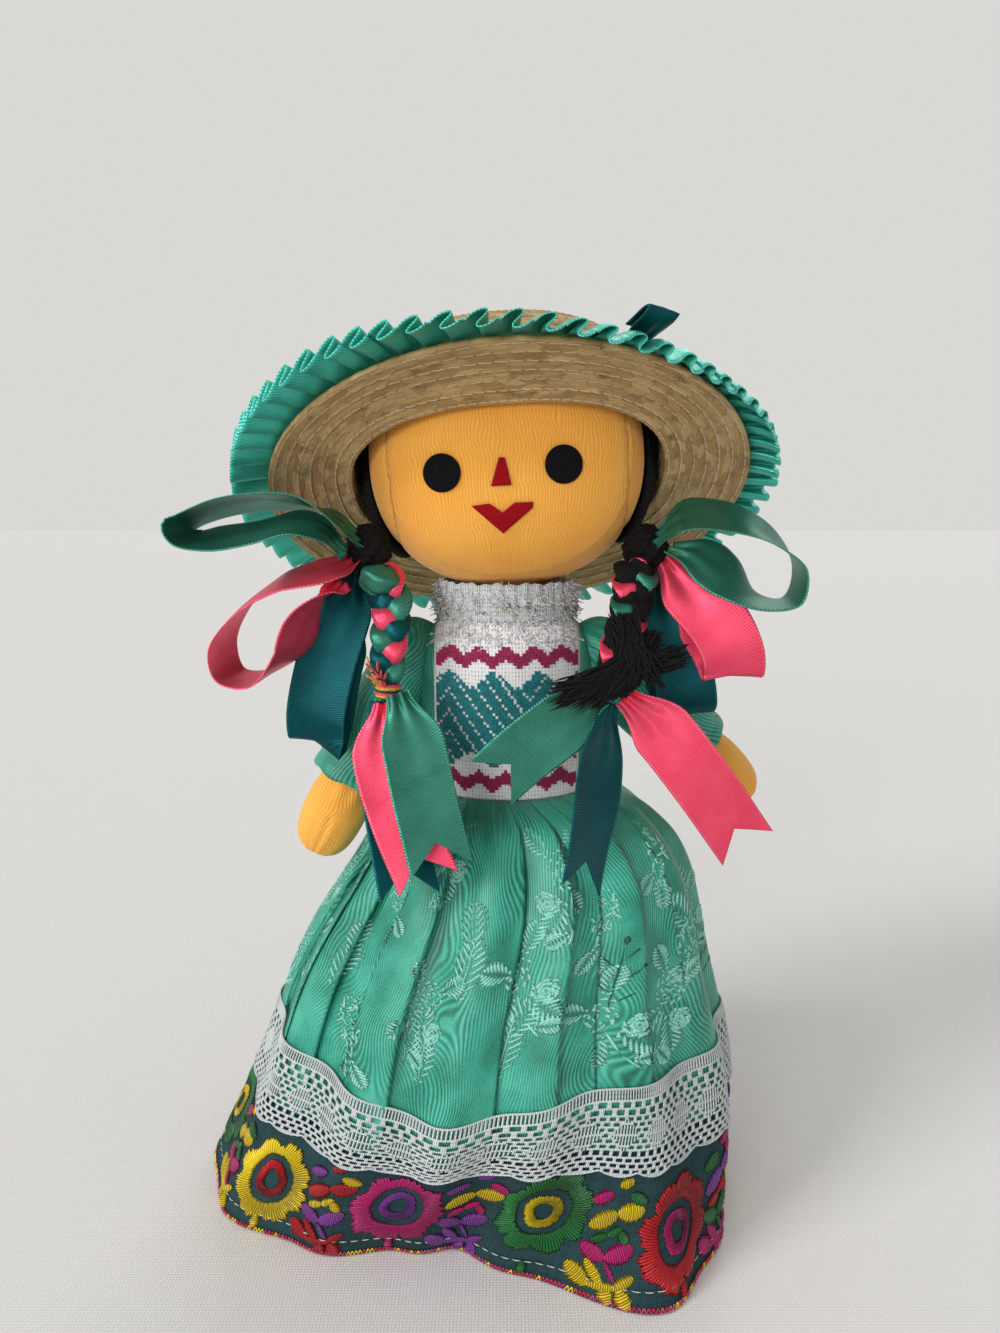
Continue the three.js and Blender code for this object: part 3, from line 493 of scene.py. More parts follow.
def felt_patch(outline, centre):
    """Felt laid on the face: rings shrink from the outline to a centre on the top and again underneath,
    and every point stands off the front of the head, y = -b (1 - |x/a|^p - |z/c|^p)^(1/p), by its layer."""
    share, lift = np.array(FELT_LAYERS).T[..., None]
    flat = centre + share[..., None] * (outline - centre)
    level = grid(flat[..., 0], 0 * flat[..., 0], flat[..., 1]) - HEAD_CENTRE
    level = turned(level, 1, -HEAD_LEAN)
    reach = np.abs(level / (HEAD_HALF + CHIN * (level[..., 2:] < 0))) ** HEAD_POWER
    level[..., 1] = -HEAD_HALF[1] * (1 - reach[..., 0] - reach[..., 2]) ** (1 / HEAD_POWER) - lift
    return on_head(level), flat


def felt_finish(name, pale, deep):
    """Pressed felt: short fibres in every direction, fuzzy and matt."""
    felt = start_finish(name, {"Specular IOR Level": 0.15})
    across, along = felt.cloth()
    fibres = felt.noise(across, along, 0.5, 4.0)
    patchy = felt.noise(across, along, 3.0)
    tone = (fibres * 0.8 + patchy * 0.4 - 0.1).ease(0.1, 0.9)
    return end_finish(felt, felt.mix(tone, dyed(deep), dyed(pale)), 0.98 - fibres * 0.1, fibres * 0.16)


felts = {name: felt_finish(name, *dyes) for name, dyes in FELT_DYES.items()}
turn = circuit(60)
circle = EYE_RADIUS * grid(np.cos(turn), np.sin(turn))
middle = np.array([FACE_X, EYE_Z])
face = {
    "right_eye": (circle - EYE_OUT, -EYE_OUT, "black_felt"),
    "left_eye": (circle + EYE_OUT, EYE_OUT, "black_felt"),
    "nose": (straight_outline(NOSE_CORNERS, 61), (-0.5, -1.6), "red_felt"),
    "mouth": (straight_outline(MOUTH_CORNERS, 97), (0, -14.9), "red_felt"),
}
for name, (outline, centre, felt) in face.items():
    patch, flat = felt_patch(middle + outline, middle + centre)
    cut_out = add_piece(f"felt_{name}", "dressed_head", patch, flat, felts[felt], [name])

# Hair: black yarn laid over the back of the head from a middle parting, and drawn down to a knot at each jaw.
# The strands are glued to the cloth, so the cap ends thin at the hairline, at the nape and inside the hat.
HAIR_THICK = 4.0
STRAND_GROOVE, PARTING_SINK, PARTING_SPREAD = 0.55, 1.4, 2.2
SCALP_GAP = 0.3
HAIR_HALF_TURN = 99
NAPE_DIP, HAIR_RISE = -41, 24
KNOT = np.array([46.4, -13.12, 231.5])
KNOT_RADIUS = 8
STRANDS_IN_TURN = 110
SIDE_TAPER, END_TAPER = 0.12, 0.14
YARN_PALE, YARN_DEEP = "121216", "030304"

yarn, (across, along) = start_group("spun yarn", ["across", "along"], ["height", "tone"])
spun_yarn = end_group(
    yarn,
    height=(across * 0.8 + along).wave(1.3),
    tone=yarn.noise(across * 3, along, 0.9, 3.0),
)

wool = start_finish("black_yarn", {"Specular IOR Level": 0.25})
across, along = wool.cloth()
ply, fibre = wool.placed(spun_yarn, across=across, along=along)
black_yarn = end_finish(
    wool,
    wool.mix((ply * 0.35 + fibre * 0.7 - 0.15).ease(0, 1), dyed(YARN_DEEP), dyed(YARN_PALE)),
    0.9 - fibre * 0.2,
    ply * 0.2 + fibre * 0.15,
)

rise = np.linspace(np.radians(NAPE_DIP), np.radians(HAIR_RISE), 81)[:, None]
swing = np.linspace(-np.radians(HAIR_HALF_TURN), np.radians(HAIR_HALF_TURN), 301)
toward = grid(np.sin(swing) * np.cos(rise), np.cos(swing) * np.cos(rise), np.sin(rise))
from_parting = np.abs(swing) * HEAD_HALF[0]
knot_arc = np.arctan2(KNOT[0], KNOT[1]) * HEAD_HALF[0]
fan = np.arctan2(HEAD_HALF[2] * np.sin(rise) - (KNOT - HEAD_CENTRE)[2], knot_arc - from_parting)
strand = np.cos(STRANDS_IN_TURN * fan + 0.6 * np.sin(9 * fan))
edge_in = np.minimum(1 - np.abs(swing) / swing[-1], SIDE_TAPER) / SIDE_TAPER
ends_in = np.minimum(np.minimum(rise - rise[0], rise[-1] - rise), END_TAPER) / END_TAPER
full = np.sqrt(np.clip(edge_in * ends_in * (2 - edge_in * ends_in), 0, 1))
parting = PARTING_SINK * bell(from_parting, PARTING_SPREAD)
layer = (HAIR_THICK - STRAND_GROOVE * (1 - strand) - parting) * full
outside = head_skin(toward, SCALP_GAP) + layer[..., None] * toward
inside = head_skin(toward, SCALP_GAP)
cap = np.concatenate([outside, inside[::-1], outside[:1]])
lay = grid(40 * fan, np.hypot(knot_arc - from_parting, HEAD_HALF[2] * rise + 30))
lay = np.concatenate([lay, lay[::-1], lay[:1]])
hair = add_piece("yarn_hair", "dressed_head", on_head(cap), lay, black_yarn, ["hair"])

# Hair knots: the gathered yarn wound round on itself into a ball at each jaw, before it is plaited.
# Its turns cross each other, and the hair that it is wound from holds it in place.
polar = np.linspace(0, np.pi, 49)[:, None]
turn = circuit(96)
wound = KNOT_RADIUS - 0.5 + 0.45 * np.cos(9 * turn + 7 * polar) * np.sin(polar)
wound = wound + 0.3 * np.cos(17 * polar - 2 * turn)
ball = wound[..., None] * revolve(np.sin(polar), turn, 1.12 * np.cos(polar))
for name, side in (("right_hair_knot", -1), ("left_hair_knot", 1)):
    knot = add_piece(
        f"wound_{name}", "dressed_head", ball + KNOT * (side, 1, 1), grid(KNOT_RADIUS * turn, 9 * polar),
        black_yarn, [name])

# Braids: three strands plaited below each knot. On the right they are satin ribbons, coral, teal and mint;
# on the left they are black yarn with a mint and a coral ribbon showing between the strands.
BRAID_TOP = KNOT + (-4, -8, -9)
BRAID_PATH = {
    "right": [(0, 0, 3), (3, -3, -4), (5, -5, -8), (4, -10, -20), (4, -12, -33)],
    "left": [(0, 0, 5), (-1, -3, -3), (-2, -5, -8), (-6, -10, -20), (-10, -12, -33)],
}
BRAID_CYCLES = 1.85
BRAID_STATIONS = 91
BRAID_LENGTH = 46
STRAND_SPREAD = 3.3
STRAND_RISE = 1.9
STRAND_WIDE, STRAND_DEEP, STRAND_CREASE = 4.1, 2.1, 0.12
SHOWN_RIBBON_WIDE, SHOWN_RIBBON_DEEP = 3.5, 0.8
SHOWN_RIBBON_SPREAD, SHOWN_RIBBON_RISE = 4.1, 3.6
# Each satin dye is a bright colour, for the selvedge dots and the painted highlight on the floats, and a deep
# one.
SATIN_DYES = {
    "mint": ("4d9883", "175b4a"),
    "coral": ("ff6a85", "dc284d"),
    "teal": ("066369", "002e33"),
    "ruffle": ("62dcc8", "1a8a78"),
}
SATIN_HALF, SELVEDGE = 9.5, 9.0
STRAND_LAY = 9.3


def unit(vectors):
    """Directions of length one."""
    return vectors / np.linalg.norm(vectors, axis=-1, keepdims=True)


def sweep(path, out, width, depth, sides):
    """Tube along each path: an oval ring at every station, with half its width across the path and half
    its depth towards out."""
    along = unit(np.gradient(path, axis=-2))
    across = unit(np.cross(along, out))
    face = np.cross(across, along)
    turn = circuit(sides)[:, None]
    wide = np.asarray(width)[..., None, None] * np.cos(turn) * across[..., None, :]
    deep = np.asarray(depth)[..., None, None] * np.sin(turn) * face[..., None, :]
    return path[..., None, :] + wide + deep


# Satin: long floats across the ribbon, with a fine slanting rib and a dotted selvedge. Its tone is the rib
# plus a painted highlight where the floats catch the light
satin, (across, along) = start_group("satin", ["across", "along"], ["height", "tone", "selvedge"])
edge = abs(across).ease(SELVEDGE - 0.35, SELVEDGE + 0.05)
bowed = along + across * 0.5 + (across * 0.45).sine() * 0.6
rib = bowed.wave(0.8)
floats = satin.noise(across * 0.12, along, 0.35, 3.0)
satin_weave = end_group(
    satin,
    height=rib * 0.4 + floats * 0.25 + edge * along.wave(1.0) * 2,
    tone=rib * 0.45 + floats * 0.55,
    selvedge=edge * along.wave(1.0),
)


def satin_finish(dye):
    """Ribbon satin in one dye: paler on the selvedge dots, painted highlight in streaks on the floats, and
    paler in broad patches.
    """
    bright, deep = (dyed(code) for code in SATIN_DYES[dye])
    cloth = start_finish(f"{dye}_satin", {
        "Metallic": 0.55, "Anisotropic": 0.5, "Specular IOR Level": 0.2})
    across, along = cloth.cloth()
    height, tone, selvedge = cloth.placed(satin_weave, across=across, along=along)
    uneven = cloth.noise(across, along, 14.0)
    # The share towards the bright dye holds the painted highlight on the floats as well as the paler selvedge
    # dots.
    share = (tone * 0.75 + uneven * 0.55 - 0.15 + selvedge * 0.7).ease(0, 1.1)
    return end_finish(cloth, cloth.mix(share, deep, bright), 0.3 + tone * 0.14, height * 0.06)


satins = {dye: satin_finish(dye) for dye in SATIN_DYES}


def plait(side, strand, spread, rise):
    """Centre line of one of three strands: along the braid's path, swaying from side to side as a sine and
    in and out as a sine at twice the rate, each strand a third of a cycle behind the one before."""
    path = BRAID_TOP * (1 if side == "left" else -1, 1, 1) + spline(BRAID_PATH[side], BRAID_STATIONS)
    sway = np.linspace(0, 2 * np.pi * BRAID_CYCLES, BRAID_STATIONS)[:, None] + 2 * np.pi / 3 * strand
    along = unit(np.gradient(path, axis=0))
    across = unit(np.cross(along, (0, 1, 0)))
    out = np.cross(across, along)
    shrink = np.linspace(1.05, 0.72, BRAID_STATIONS)[:, None]
    return path + shrink * (spread * np.sin(sway) * across + rise * np.sin(2 * sway) * out), out


t = np.linspace(0, 1, BRAID_STATIONS)
taper = np.clip(np.minimum(t, 1 - t) * 24, 0, 1) ** 0.5 * (1.05 - 0.3 * t)
strands = []
for side, dyes in (("right", ("coral", "teal", "mint")), ("left", ("yarn", "yarn", "yarn"))):
    for strand, dye in enumerate(dyes):
        path, out = plait(side, strand, STRAND_SPREAD, STRAND_RISE)
        tube = sweep(path, out, STRAND_WIDE * taper, STRAND_DEEP * taper, 24)
        turn = circuit(24)
        crease = STRAND_CREASE * np.cos(7 * turn + 9 * t[:, None]) * taper[:, None]
        tube = tube + crease[..., None] * unit(tube - path[:, None] + 1e-9)
        lay = grid(STRAND_LAY * np.cos(turn), BRAID_LENGTH * t[:, None])
        finish = black_yarn if dye == "yarn" else satins[dye]
        strands.append((side, dye, add_piece(
            f"{side}_braid_{dye}_{strand + 1}", f"{side}_braid", tube, lay, finish, [f"{side}_braid"])))
for strand, dye in ((0.22, "mint"), (1.2, "coral")):
    path, out = plait("left", strand, SHOWN_RIBBON_SPREAD, SHOWN_RIBBON_RISE)
    tube = sweep(path, out, SHOWN_RIBBON_WIDE * taper, SHOWN_RIBBON_DEEP * taper, 14)
    lay = grid(STRAND_LAY * np.cos(circuit(14)), BRAID_LENGTH * t[:, None])
    strands.append(("left", dye, add_piece(
        f"left_braid_{dye}", "left_braid", tube, lay, satins[dye], ["left_braid"])))

# Braid wrap: a mint satin ribbon wrapped once round the top of the right braid, under its knot.
# It is pulled tight, so it bulges a little over the strands and creases round its ends.
WRAP_RADIUS, WRAP_CREASE = 6.9, 0.3
WRAP_DEEP, WRAP_TALL = 0.85, 0.72
WRAP_TILT = 18
WRAP_SHIFT = (1.2, -3.2, -0.4)
polar = np.linspace(0, np.pi, 33)[:, None]
turn = circuit(64)
wrap = WRAP_RADIUS + WRAP_CREASE * np.cos(6 * polar + 2 * np.sin(turn)) * np.sin(polar)
wrap = wrap + WRAP_CREASE * np.cos(3 * turn + 2 * polar)
bulb = wrap[..., None] * revolve(np.sin(polar), turn, WRAP_TALL * np.cos(polar), WRAP_DEEP)
mint_wrap = add_piece(
    "right_braid_wrap", "right_braid", turned(bulb, 1, WRAP_TILT) + BRAID_TOP * (-1, 1, 1) + WRAP_SHIFT,
    grid(8 * np.cos(polar), 6 * turn), satins["mint"], ["right_braid"])

# Ties: thread wound tight round the end of each braid, its loose ends left sticking out.
# The right braid is tied in red, black and ochre thread, the left one in black.
TIE_RADIUS = 4.2
TIE_HALF_HEIGHT = 3.1
TIE_WINDING, TIE_RIDGE = 22, 0.22
THREAD_ENDS = 14
THREAD_THICK = 0.36
THREAD_COLOURS = ("e8495f", "17151a", "d9a933")
ties = {
    "right": BRAID_TOP * (-1, 1, 1) + (4, -12.5, -35.2),
    "left": BRAID_TOP + (-10, -12.5, -35.2),
}

floss = start_finish("wound_thread", {"Sheen Weight": 0.1})
across, along = floss.cloth()
ply, fibre = floss.placed(spun_yarn, across=across, along=along)
stain = floss.tint()
wound_thread = end_finish(
    floss,
    floss.mix((fibre * 0.8 + ply * 0.3 - 0.2).ease(0, 1) * 0.5, stain, dyed("000000")),
    0.7 - fibre * 0.2,
    ply * 0.12 + fibre * 0.1,
)

level = np.linspace(-1, 1, 41)[:, None]
turn = circuit(48)
ridged = TIE_RADIUS * np.sqrt(np.clip(1 - level ** 4, 0, 1))
ridged = ridged + TIE_RIDGE * np.cos(TIE_WINDING * level + turn) * (1 - level ** 8)
coil = revolve(ridged, turn, TIE_HALF_HEIGHT * level)
bands = np.array([dyed(code) for code in THREAD_COLOURS])
winding = np.floor((level * TIE_WINDING + turn) / (2 * np.pi) + 0.5).astype(int)
rng = np.random.default_rng(7)
fly = rng.uniform((-0.6, -0.5, 0.5), (0.0, 0.0, 1.0), (THREAD_ENDS, 3))
s = np.linspace(0, 1, 15)[:, None]
curl = np.sin(3 * s + rng.uniform(0, 6, (THREAD_ENDS, 1, 1))) * s * (1.6, 1.2, 0.8)
reach = rng.uniform(6, 12, (THREAD_ENDS, 1, 1))
for side, tie in ties.items():
    tied = add_piece(
        f"{side}_thread_tie", f"{side}_braid", coil + tie, grid(4 * turn, 3 * level), wound_thread,
        [f"{side}_braid_tie"], tint=bands[winding % 3] if side == "right" else bands[1])
    paths = tie + (0, -3, 1) + fly[:, None] * reach * s * (1 if side == "right" else -0.8, 1, 1) + curl
    thick = THREAD_THICK * np.clip(np.minimum(s, 1 - s)[:, 0] * 20, 0, 1)
    shades = bands[np.arange(THREAD_ENDS) % 3][:, None, None]
    ends = add_piece(
        f"{side}_thread_ends", f"{side}_braid", sweep(paths, np.array([0, 0.3, 1]), thick, thick, 6),
        grid(np.linspace(0, 2, 7), 14 * s), wound_thread, tint=shades)

# Tassel: the cut yarn ends of the left braid, brushed out over the tie into a loose clump.
# Most sweep down to the doll's right, some stick out to its left, and the rest lie over the braid's end.
# Each bundle has a count, then where its strands start, bend and end with how far they scatter there.
TASSEL_BUNDLES = [
    (170, (11, -7.5, 17), (4, 2.2, 4.5), (6, -12.5, 9), (4, 1.5, 5), (-13, -13.5, 1), (8, 1.5, 4.6)),
    (90, (1, -9, 6), (4, 2, 4), (9, -11, 10), (3, 1.5, 4), (19.5, -9, 13), (5.5, 1.5, 4)),
    (130, (12, -7.5, 16), (4, 2, 6), (8, -12, 10), (4, 1.5, 5), (1, -11.5, 2.5), (5, 1.5, 3.5)),
    (140, (3, -7.5, 24), (5, 2, 3), (6, -13, 16), (6, 1.5, 4), (8, -11.5, 6), (9, 1.5, 4)),
]
TASSEL_THICK = 0.34
rng = np.random.default_rng(11)
s = np.linspace(0, 1, 15)[:, None]
strands = []
for count, *places in TASSEL_BUNDLES:
    start, bend, end = (
        np.array(middle) + rng.uniform(-1, 1, (count, 1, 3)) * scatter
        for middle, scatter in zip(places[::2], places[1::2]))
    curl = np.sin(7 * s + rng.uniform(0, 6, (count, 1, 3))) * s ** 2 * rng.uniform(0.2, 1.1, (count, 1, 1))
    strands.append(start * (1 - s) ** 2 + 2 * bend * s * (1 - s) + end * s ** 2 + curl)
thick = TASSEL_THICK * np.clip(np.minimum(s, 1 - s)[:, 0] * 12, 0.0, 1) ** 0.5
tassel = add_piece(
    "left_braid_brush", "left_braid",
    sweep(np.concatenate(strands) + ties["left"], np.array([0, 0.4, 0.9]), thick, thick, 6),
    grid(np.linspace(0, 2, 7), 30 * s), black_yarn, ["left_braid_tassel"])

# Straw hat: flat straw braid sewn round and round, row overlapping row, from the crown out to the brim.
# A pale thread runs along each row. It sits tilted back on the head and is stitched to the hair.
HAT_TILT = 31.6
HAT_DROP = 9.9
CROWN_POWER = 2.5
CROWN_EASE = 1
BRIM_RADIUS = 80
BRIM_DROOP = 5
HAT_POWER = HEAD_POWER + 0.15
STRAW = 1.6
STRAW_ROW = 5.2
STRAW_LAP, STRAW_RIPPLE = 0.55, 0.12
SPLINT = 9.0
STRAW_PALE, STRAW_DEEP, STRAW_SCORCH = "d2b580", "906d3c", "5c3a1b"
ROW_THREAD = "e6dcc4"
ROW_STITCH, ROW_STITCH_SHOWN = 5.2, 4.2
hat_up = turned(np.array([0.0, 0, 1]), 0, -HAT_TILT)
hat_back = turned(np.array([0.0, 1, 0]), 0, -HAT_TILT)


def head_reach(grow, direction):
    """How far the head, grown by a layer, reaches along a direction: its half sizes times the direction,
    each to the power that is dual to HEAD_POWER, added up and brought back by the root."""
    dual = HEAD_POWER / (HEAD_POWER - 1)
    return (np.abs((HEAD_HALF + grow) * direction) ** dual).sum() ** (1 / dual)


hair_layer = SCALP_GAP + HAIR_THICK
front_reach, back_reach = head_reach(0, hat_back), head_reach(hair_layer, hat_back)
crown_half_width = head_reach(hair_layer, np.array([1, 0, 0])) + CROWN_EASE
crown_half_depth = (front_reach + back_reach) / 2 + CROWN_EASE
crown_height = head_reach(0, hat_up) + HAT_DROP + CROWN_EASE
hat_seat = (back_reach - front_reach) / 2 * hat_back - HAT_DROP * hat_up


def on_hat(points):
    """Points about the hat's own axis, tilted back and put on the head."""
    return on_head(turned(points, 0, -HAT_TILT) + hat_seat)


def hat_surface(along, angle, grow):
    """Point of the hat: along goes to 1 down the dome of the crown, to 2 down its wall and to 3 out over
    the brim. Rings are ovals that round off to a circle at the brim's edge, which droops."""
    dome = np.minimum(along, 1) * np.pi / 2
    wall = np.clip(along - 1, 0, 1)
    brim = np.maximum(along - 2, 0)
    spread = np.sin(dome) ** (2 / CROWN_POWER)
    half_x = np.maximum((1 - brim) * (crown_half_width + grow) * spread + brim * BRIM_RADIUS, 1e-5)
    half_y = np.maximum((1 - brim) * (crown_half_depth + grow) * spread + brim * BRIM_RADIUS, 1e-5)
    power = HAT_POWER + (2 - HAT_POWER) * brim
    oval = np.abs(np.cos(angle) / half_x) ** power + np.abs(np.sin(angle) / half_y) ** power
    radius = oval ** (-1 / power)
    height = (crown_height - HAT_DROP + grow) * np.maximum(np.cos(dome), 0) ** (2 / CROWN_POWER)
    height = height + HAT_DROP * (1 - wall) - BRIM_DROOP * brim ** 2 + grow * np.minimum(brim * 5, 1)
    return revolve(radius, angle, height)


fine = np.linspace(0, 3, 1201)
run = run_along(hat_surface(fine, np.array(-np.pi / 2), 0))
rows = np.linspace(0, run[-1], 190)
along = np.interp(rows, run, fine)[:, None]
lapped = (rows / STRAW_ROW % 1)[:, None]
turn = circuit(240)
ripple = STRAW_RIPPLE * np.cos(96 * turn + 2 * np.floor(rows / STRAW_ROW)[:, None])
inner = hat_surface(along, turn, STRAW_LAP * lapped + ripple)
outer = hat_surface(along, turn, STRAW + STRAW_LAP * lapped + ripple)
inner[0], outer[0] = inner[0].mean(axis=0), outer[0].mean(axis=0)
shell = np.concatenate([inner, outer[::-1]])
rim_turn = grid(BRIM_RADIUS * turn, rows[:, None])

rush = start_finish("straw_braid", {"Specular IOR Level": 0.35})
across, along = rush.cloth()
lane = along / STRAW_ROW
inside_lane = lane % 1.0
slant = (across + abs(inside_lane - 0.5) * SPLINT + lane.floor() * 3.7) / SPLINT
flake = rush.chance(slant, lane * 2)
grain = rush.noise(across * 0.1, along * 2, 1.0, 3.0)
between = abs(slant % 1.0 - 0.5).ease(0.44, 0.5)
stitch_line = (0.075 - abs(inside_lane - 0.12)).ease(0.0, 0.04)
stitch_line = stitch_line * (across % ROW_STITCH < ROW_STITCH_SHOWN)
scorch = rush.noise(across, along * 1.6, 11.0, 3.0).ease(0.5, 0.66) * flake
straw_tone = (flake * 0.34 + grain * 0.9 - 0.16).ease(0, 1)
straw_colour = rush.mix(straw_tone, dyed(STRAW_DEEP), dyed(STRAW_PALE))
straw_colour = rush.mix(scorch * 0.75 + between * 0.14, straw_colour, dyed(STRAW_SCORCH))
straw_braid = end_finish(
    rush,
    rush.mix(stitch_line * 0.7, straw_colour, dyed(ROW_THREAD)),
    0.75 - flake * 0.2,
    grain * 0.14 + flake * 0.1 - between * 0.14 + stitch_line * 0.3,
)
hat = add_piece(
    "sewn_straw_hat", "dressed_head", on_hat(shell), np.concatenate([rim_turn, rim_turn[::-1]]), straw_braid,
    ["straw_hat"])

# Ruffle: one long satin ribbon in knife pleats, sewn to the upper side of the brim so it overhangs the edge.
# The pleats lie flat where they are sewn. At the free edge they open into loops that lean over each other,
# and towards the front and the doll's left they droop over the edge of the brim.
RUFFLE_INNER, RUFFLE_OUTER = 75, 92
RUFFLE_PLEATS = 64
RUFFLE_DEPTH = 4.0
RUFFLE_FULLNESS = 1.3
RUFFLE_THICK = 0.35
RUFFLE_SIDE = -BRIM_DROOP + STRAW + SCALP_GAP
DROOP_TURN, DROOP_SPREAD = 306, 48
DROOP_IN, DROOP_DOWN = 5.5, 7.5
PLEAT_SEWN, PLEAT_OPENED = 1.4, 4.6
LEAN_SEWN, LEAN_OPENED = 3.6, 1.4
SEWN_LIFT = 2.4
LOOP_SWING = 1.62
LOOP_STATIONS = 24
swing = LOOP_SWING * np.cos(2 * np.pi * np.linspace(0, 1, LOOP_STATIONS + 1))
step_on = np.append(0, np.cumsum((np.cos(swing[1:]) + np.cos(swing[:-1])) / 2))
step_up = np.append(0, np.cumsum((np.sin(swing[1:]) + np.sin(swing[:-1])) / 2))
loop_on = np.tile(step_on[:-1] / step_on[-1], RUFFLE_PLEATS)
loop_up = np.tile((step_up[:-1] - step_up.min()) / np.ptp(step_up) - 0.5, RUFFLE_PLEATS)
pleat = np.append(np.repeat(np.arange(RUFFLE_PLEATS), LOOP_STATIONS), RUFFLE_PLEATS)
loop_on, loop_up = np.append(loop_on, loop_on[0]), np.append(loop_up, loop_up[0])
out = np.linspace(0, 1, 11)[:, None]
base_turn = 2 * np.pi * pleat / RUFFLE_PLEATS
uneven = 0.5 * np.sin(5 * base_turn + 1) + 0.4 * np.sin(11 * base_turn)
depth = (PLEAT_SEWN + PLEAT_OPENED * out ** 1.2) * (1 + 0.15 * uneven)
lean = LEAN_SEWN + LEAN_OPENED * out
turn = (pleat + loop_on + 0.15 * uneven) * 2 * np.pi / RUFFLE_PLEATS + lean * loop_up / BRIM_RADIUS
droop = bell(np.degrees(base_turn) - DROOP_TURN, DROOP_SPREAD)
radius = RUFFLE_INNER + (RUFFLE_OUTER - RUFFLE_INNER) * out - DROOP_IN * droop * out ** 2
lift = RUFFLE_SIDE + SEWN_LIFT * (1 - out) - DROOP_DOWN * droop * out ** 2
lift = lift + depth * (loop_up + 0.45 - 0.1 * out)
pleats = revolve(radius, turn, lift)
station = np.append(np.tile(np.linspace(0, 1, LOOP_STATIONS, endpoint=False), RUFFLE_PLEATS), 0)
ruffle_cut = RUFFLE_FULLNESS * (RUFFLE_INNER + RUFFLE_OUTER) * np.pi
ruffle_lay = grid(2 * SATIN_HALF * out - SATIN_HALF, 2 * ruffle_cut * (pleat + station) / RUFFLE_PLEATS)
ruffle = add_piece(
    "pleated_ruffle", "dressed_head", on_hat(pleats), ruffle_lay, satins["ruffle"], ["hat_ruffle"],
    thick=RUFFLE_THICK)

# Ribbons: 20 mm satin ribbon. Bow loops are caught into the hair knots, swallowtail ends hang from the ties,
# and a short loop of narrower teal ribbon lies over the ruffle. They bunch up where they are tied.
# Each has the places that it passes through, from its knot or its tie, and how it lies crosswise there.
RIBBON_HALF = 10
RIBBON_THICK = 0.4
RIBBON_STATIONS = 121
GATHER_REACH, BUNCH_REACH = 17, 7
TIED_SHARE = 0.38
BUNCH_RISE, CUP_RISE, FLUTTER = 1.3, 0.9, 0.5
NOTCH = 9


def ribbon(knots, lay, half=RIBBON_HALF, notch=0.0, looped=True):
    """Ribbon along a smooth path with its own crosswise direction: it narrows into gathers where it is tied,
    at both ends of a loop or at the start of a tail, and a notched end is cut to a swallowtail."""
    knots = np.asarray(knots, float)
    line = spline(np.hstack([knots, np.broadcast_to(lay, knots.shape)]), RIBBON_STATIONS)
    length = np.linalg.norm(np.diff(line[:, :3], axis=0), axis=1).sum()
    along = unit(np.gradient(line[:, :3], axis=0))
    across = unit(line[:, 3:] - (line[:, 3:] * along).sum(axis=1, keepdims=True) * along)
    carried = np.hstack([line[:, :3], across, np.cross(across, along)])
    share = np.linspace(-1, 1, 21)
    t = np.linspace(0, 1, RIBBON_STATIONS)[:, None]
    cut = t * (1 - notch / length * (1 - np.abs(share)) * t ** 3)
    at = np.stack([np.interp(cut, t[:, 0], column) for column in carried.T], axis=-1)
    tied = np.minimum(cut, 1 - cut) if looped else cut
    opened = np.clip(tied * length / GATHER_REACH, 0, 1)
    spread = TIED_SHARE + (1 - TIED_SHARE) * opened ** 2 * (3 - 2 * opened)
    bunch = np.exp(-tied * length / BUNCH_REACH)
    lift = BUNCH_RISE * bunch * np.cos(2.5 * np.pi * share + 1)
    lift = lift + CUP_RISE * (1 - bunch) * (share ** 2 - 0.3) * np.cos(4 * cut + 1)
    lift = lift + FLUTTER * np.sin(7 * cut + 1.5 * share) * (1 - bunch)
    points = at[..., :3] + (half * spread * share)[..., None] * at[..., 3:6] + lift[..., None] * at[..., 6:]
    return points, grid(SATIN_HALF * share, cut * length), length


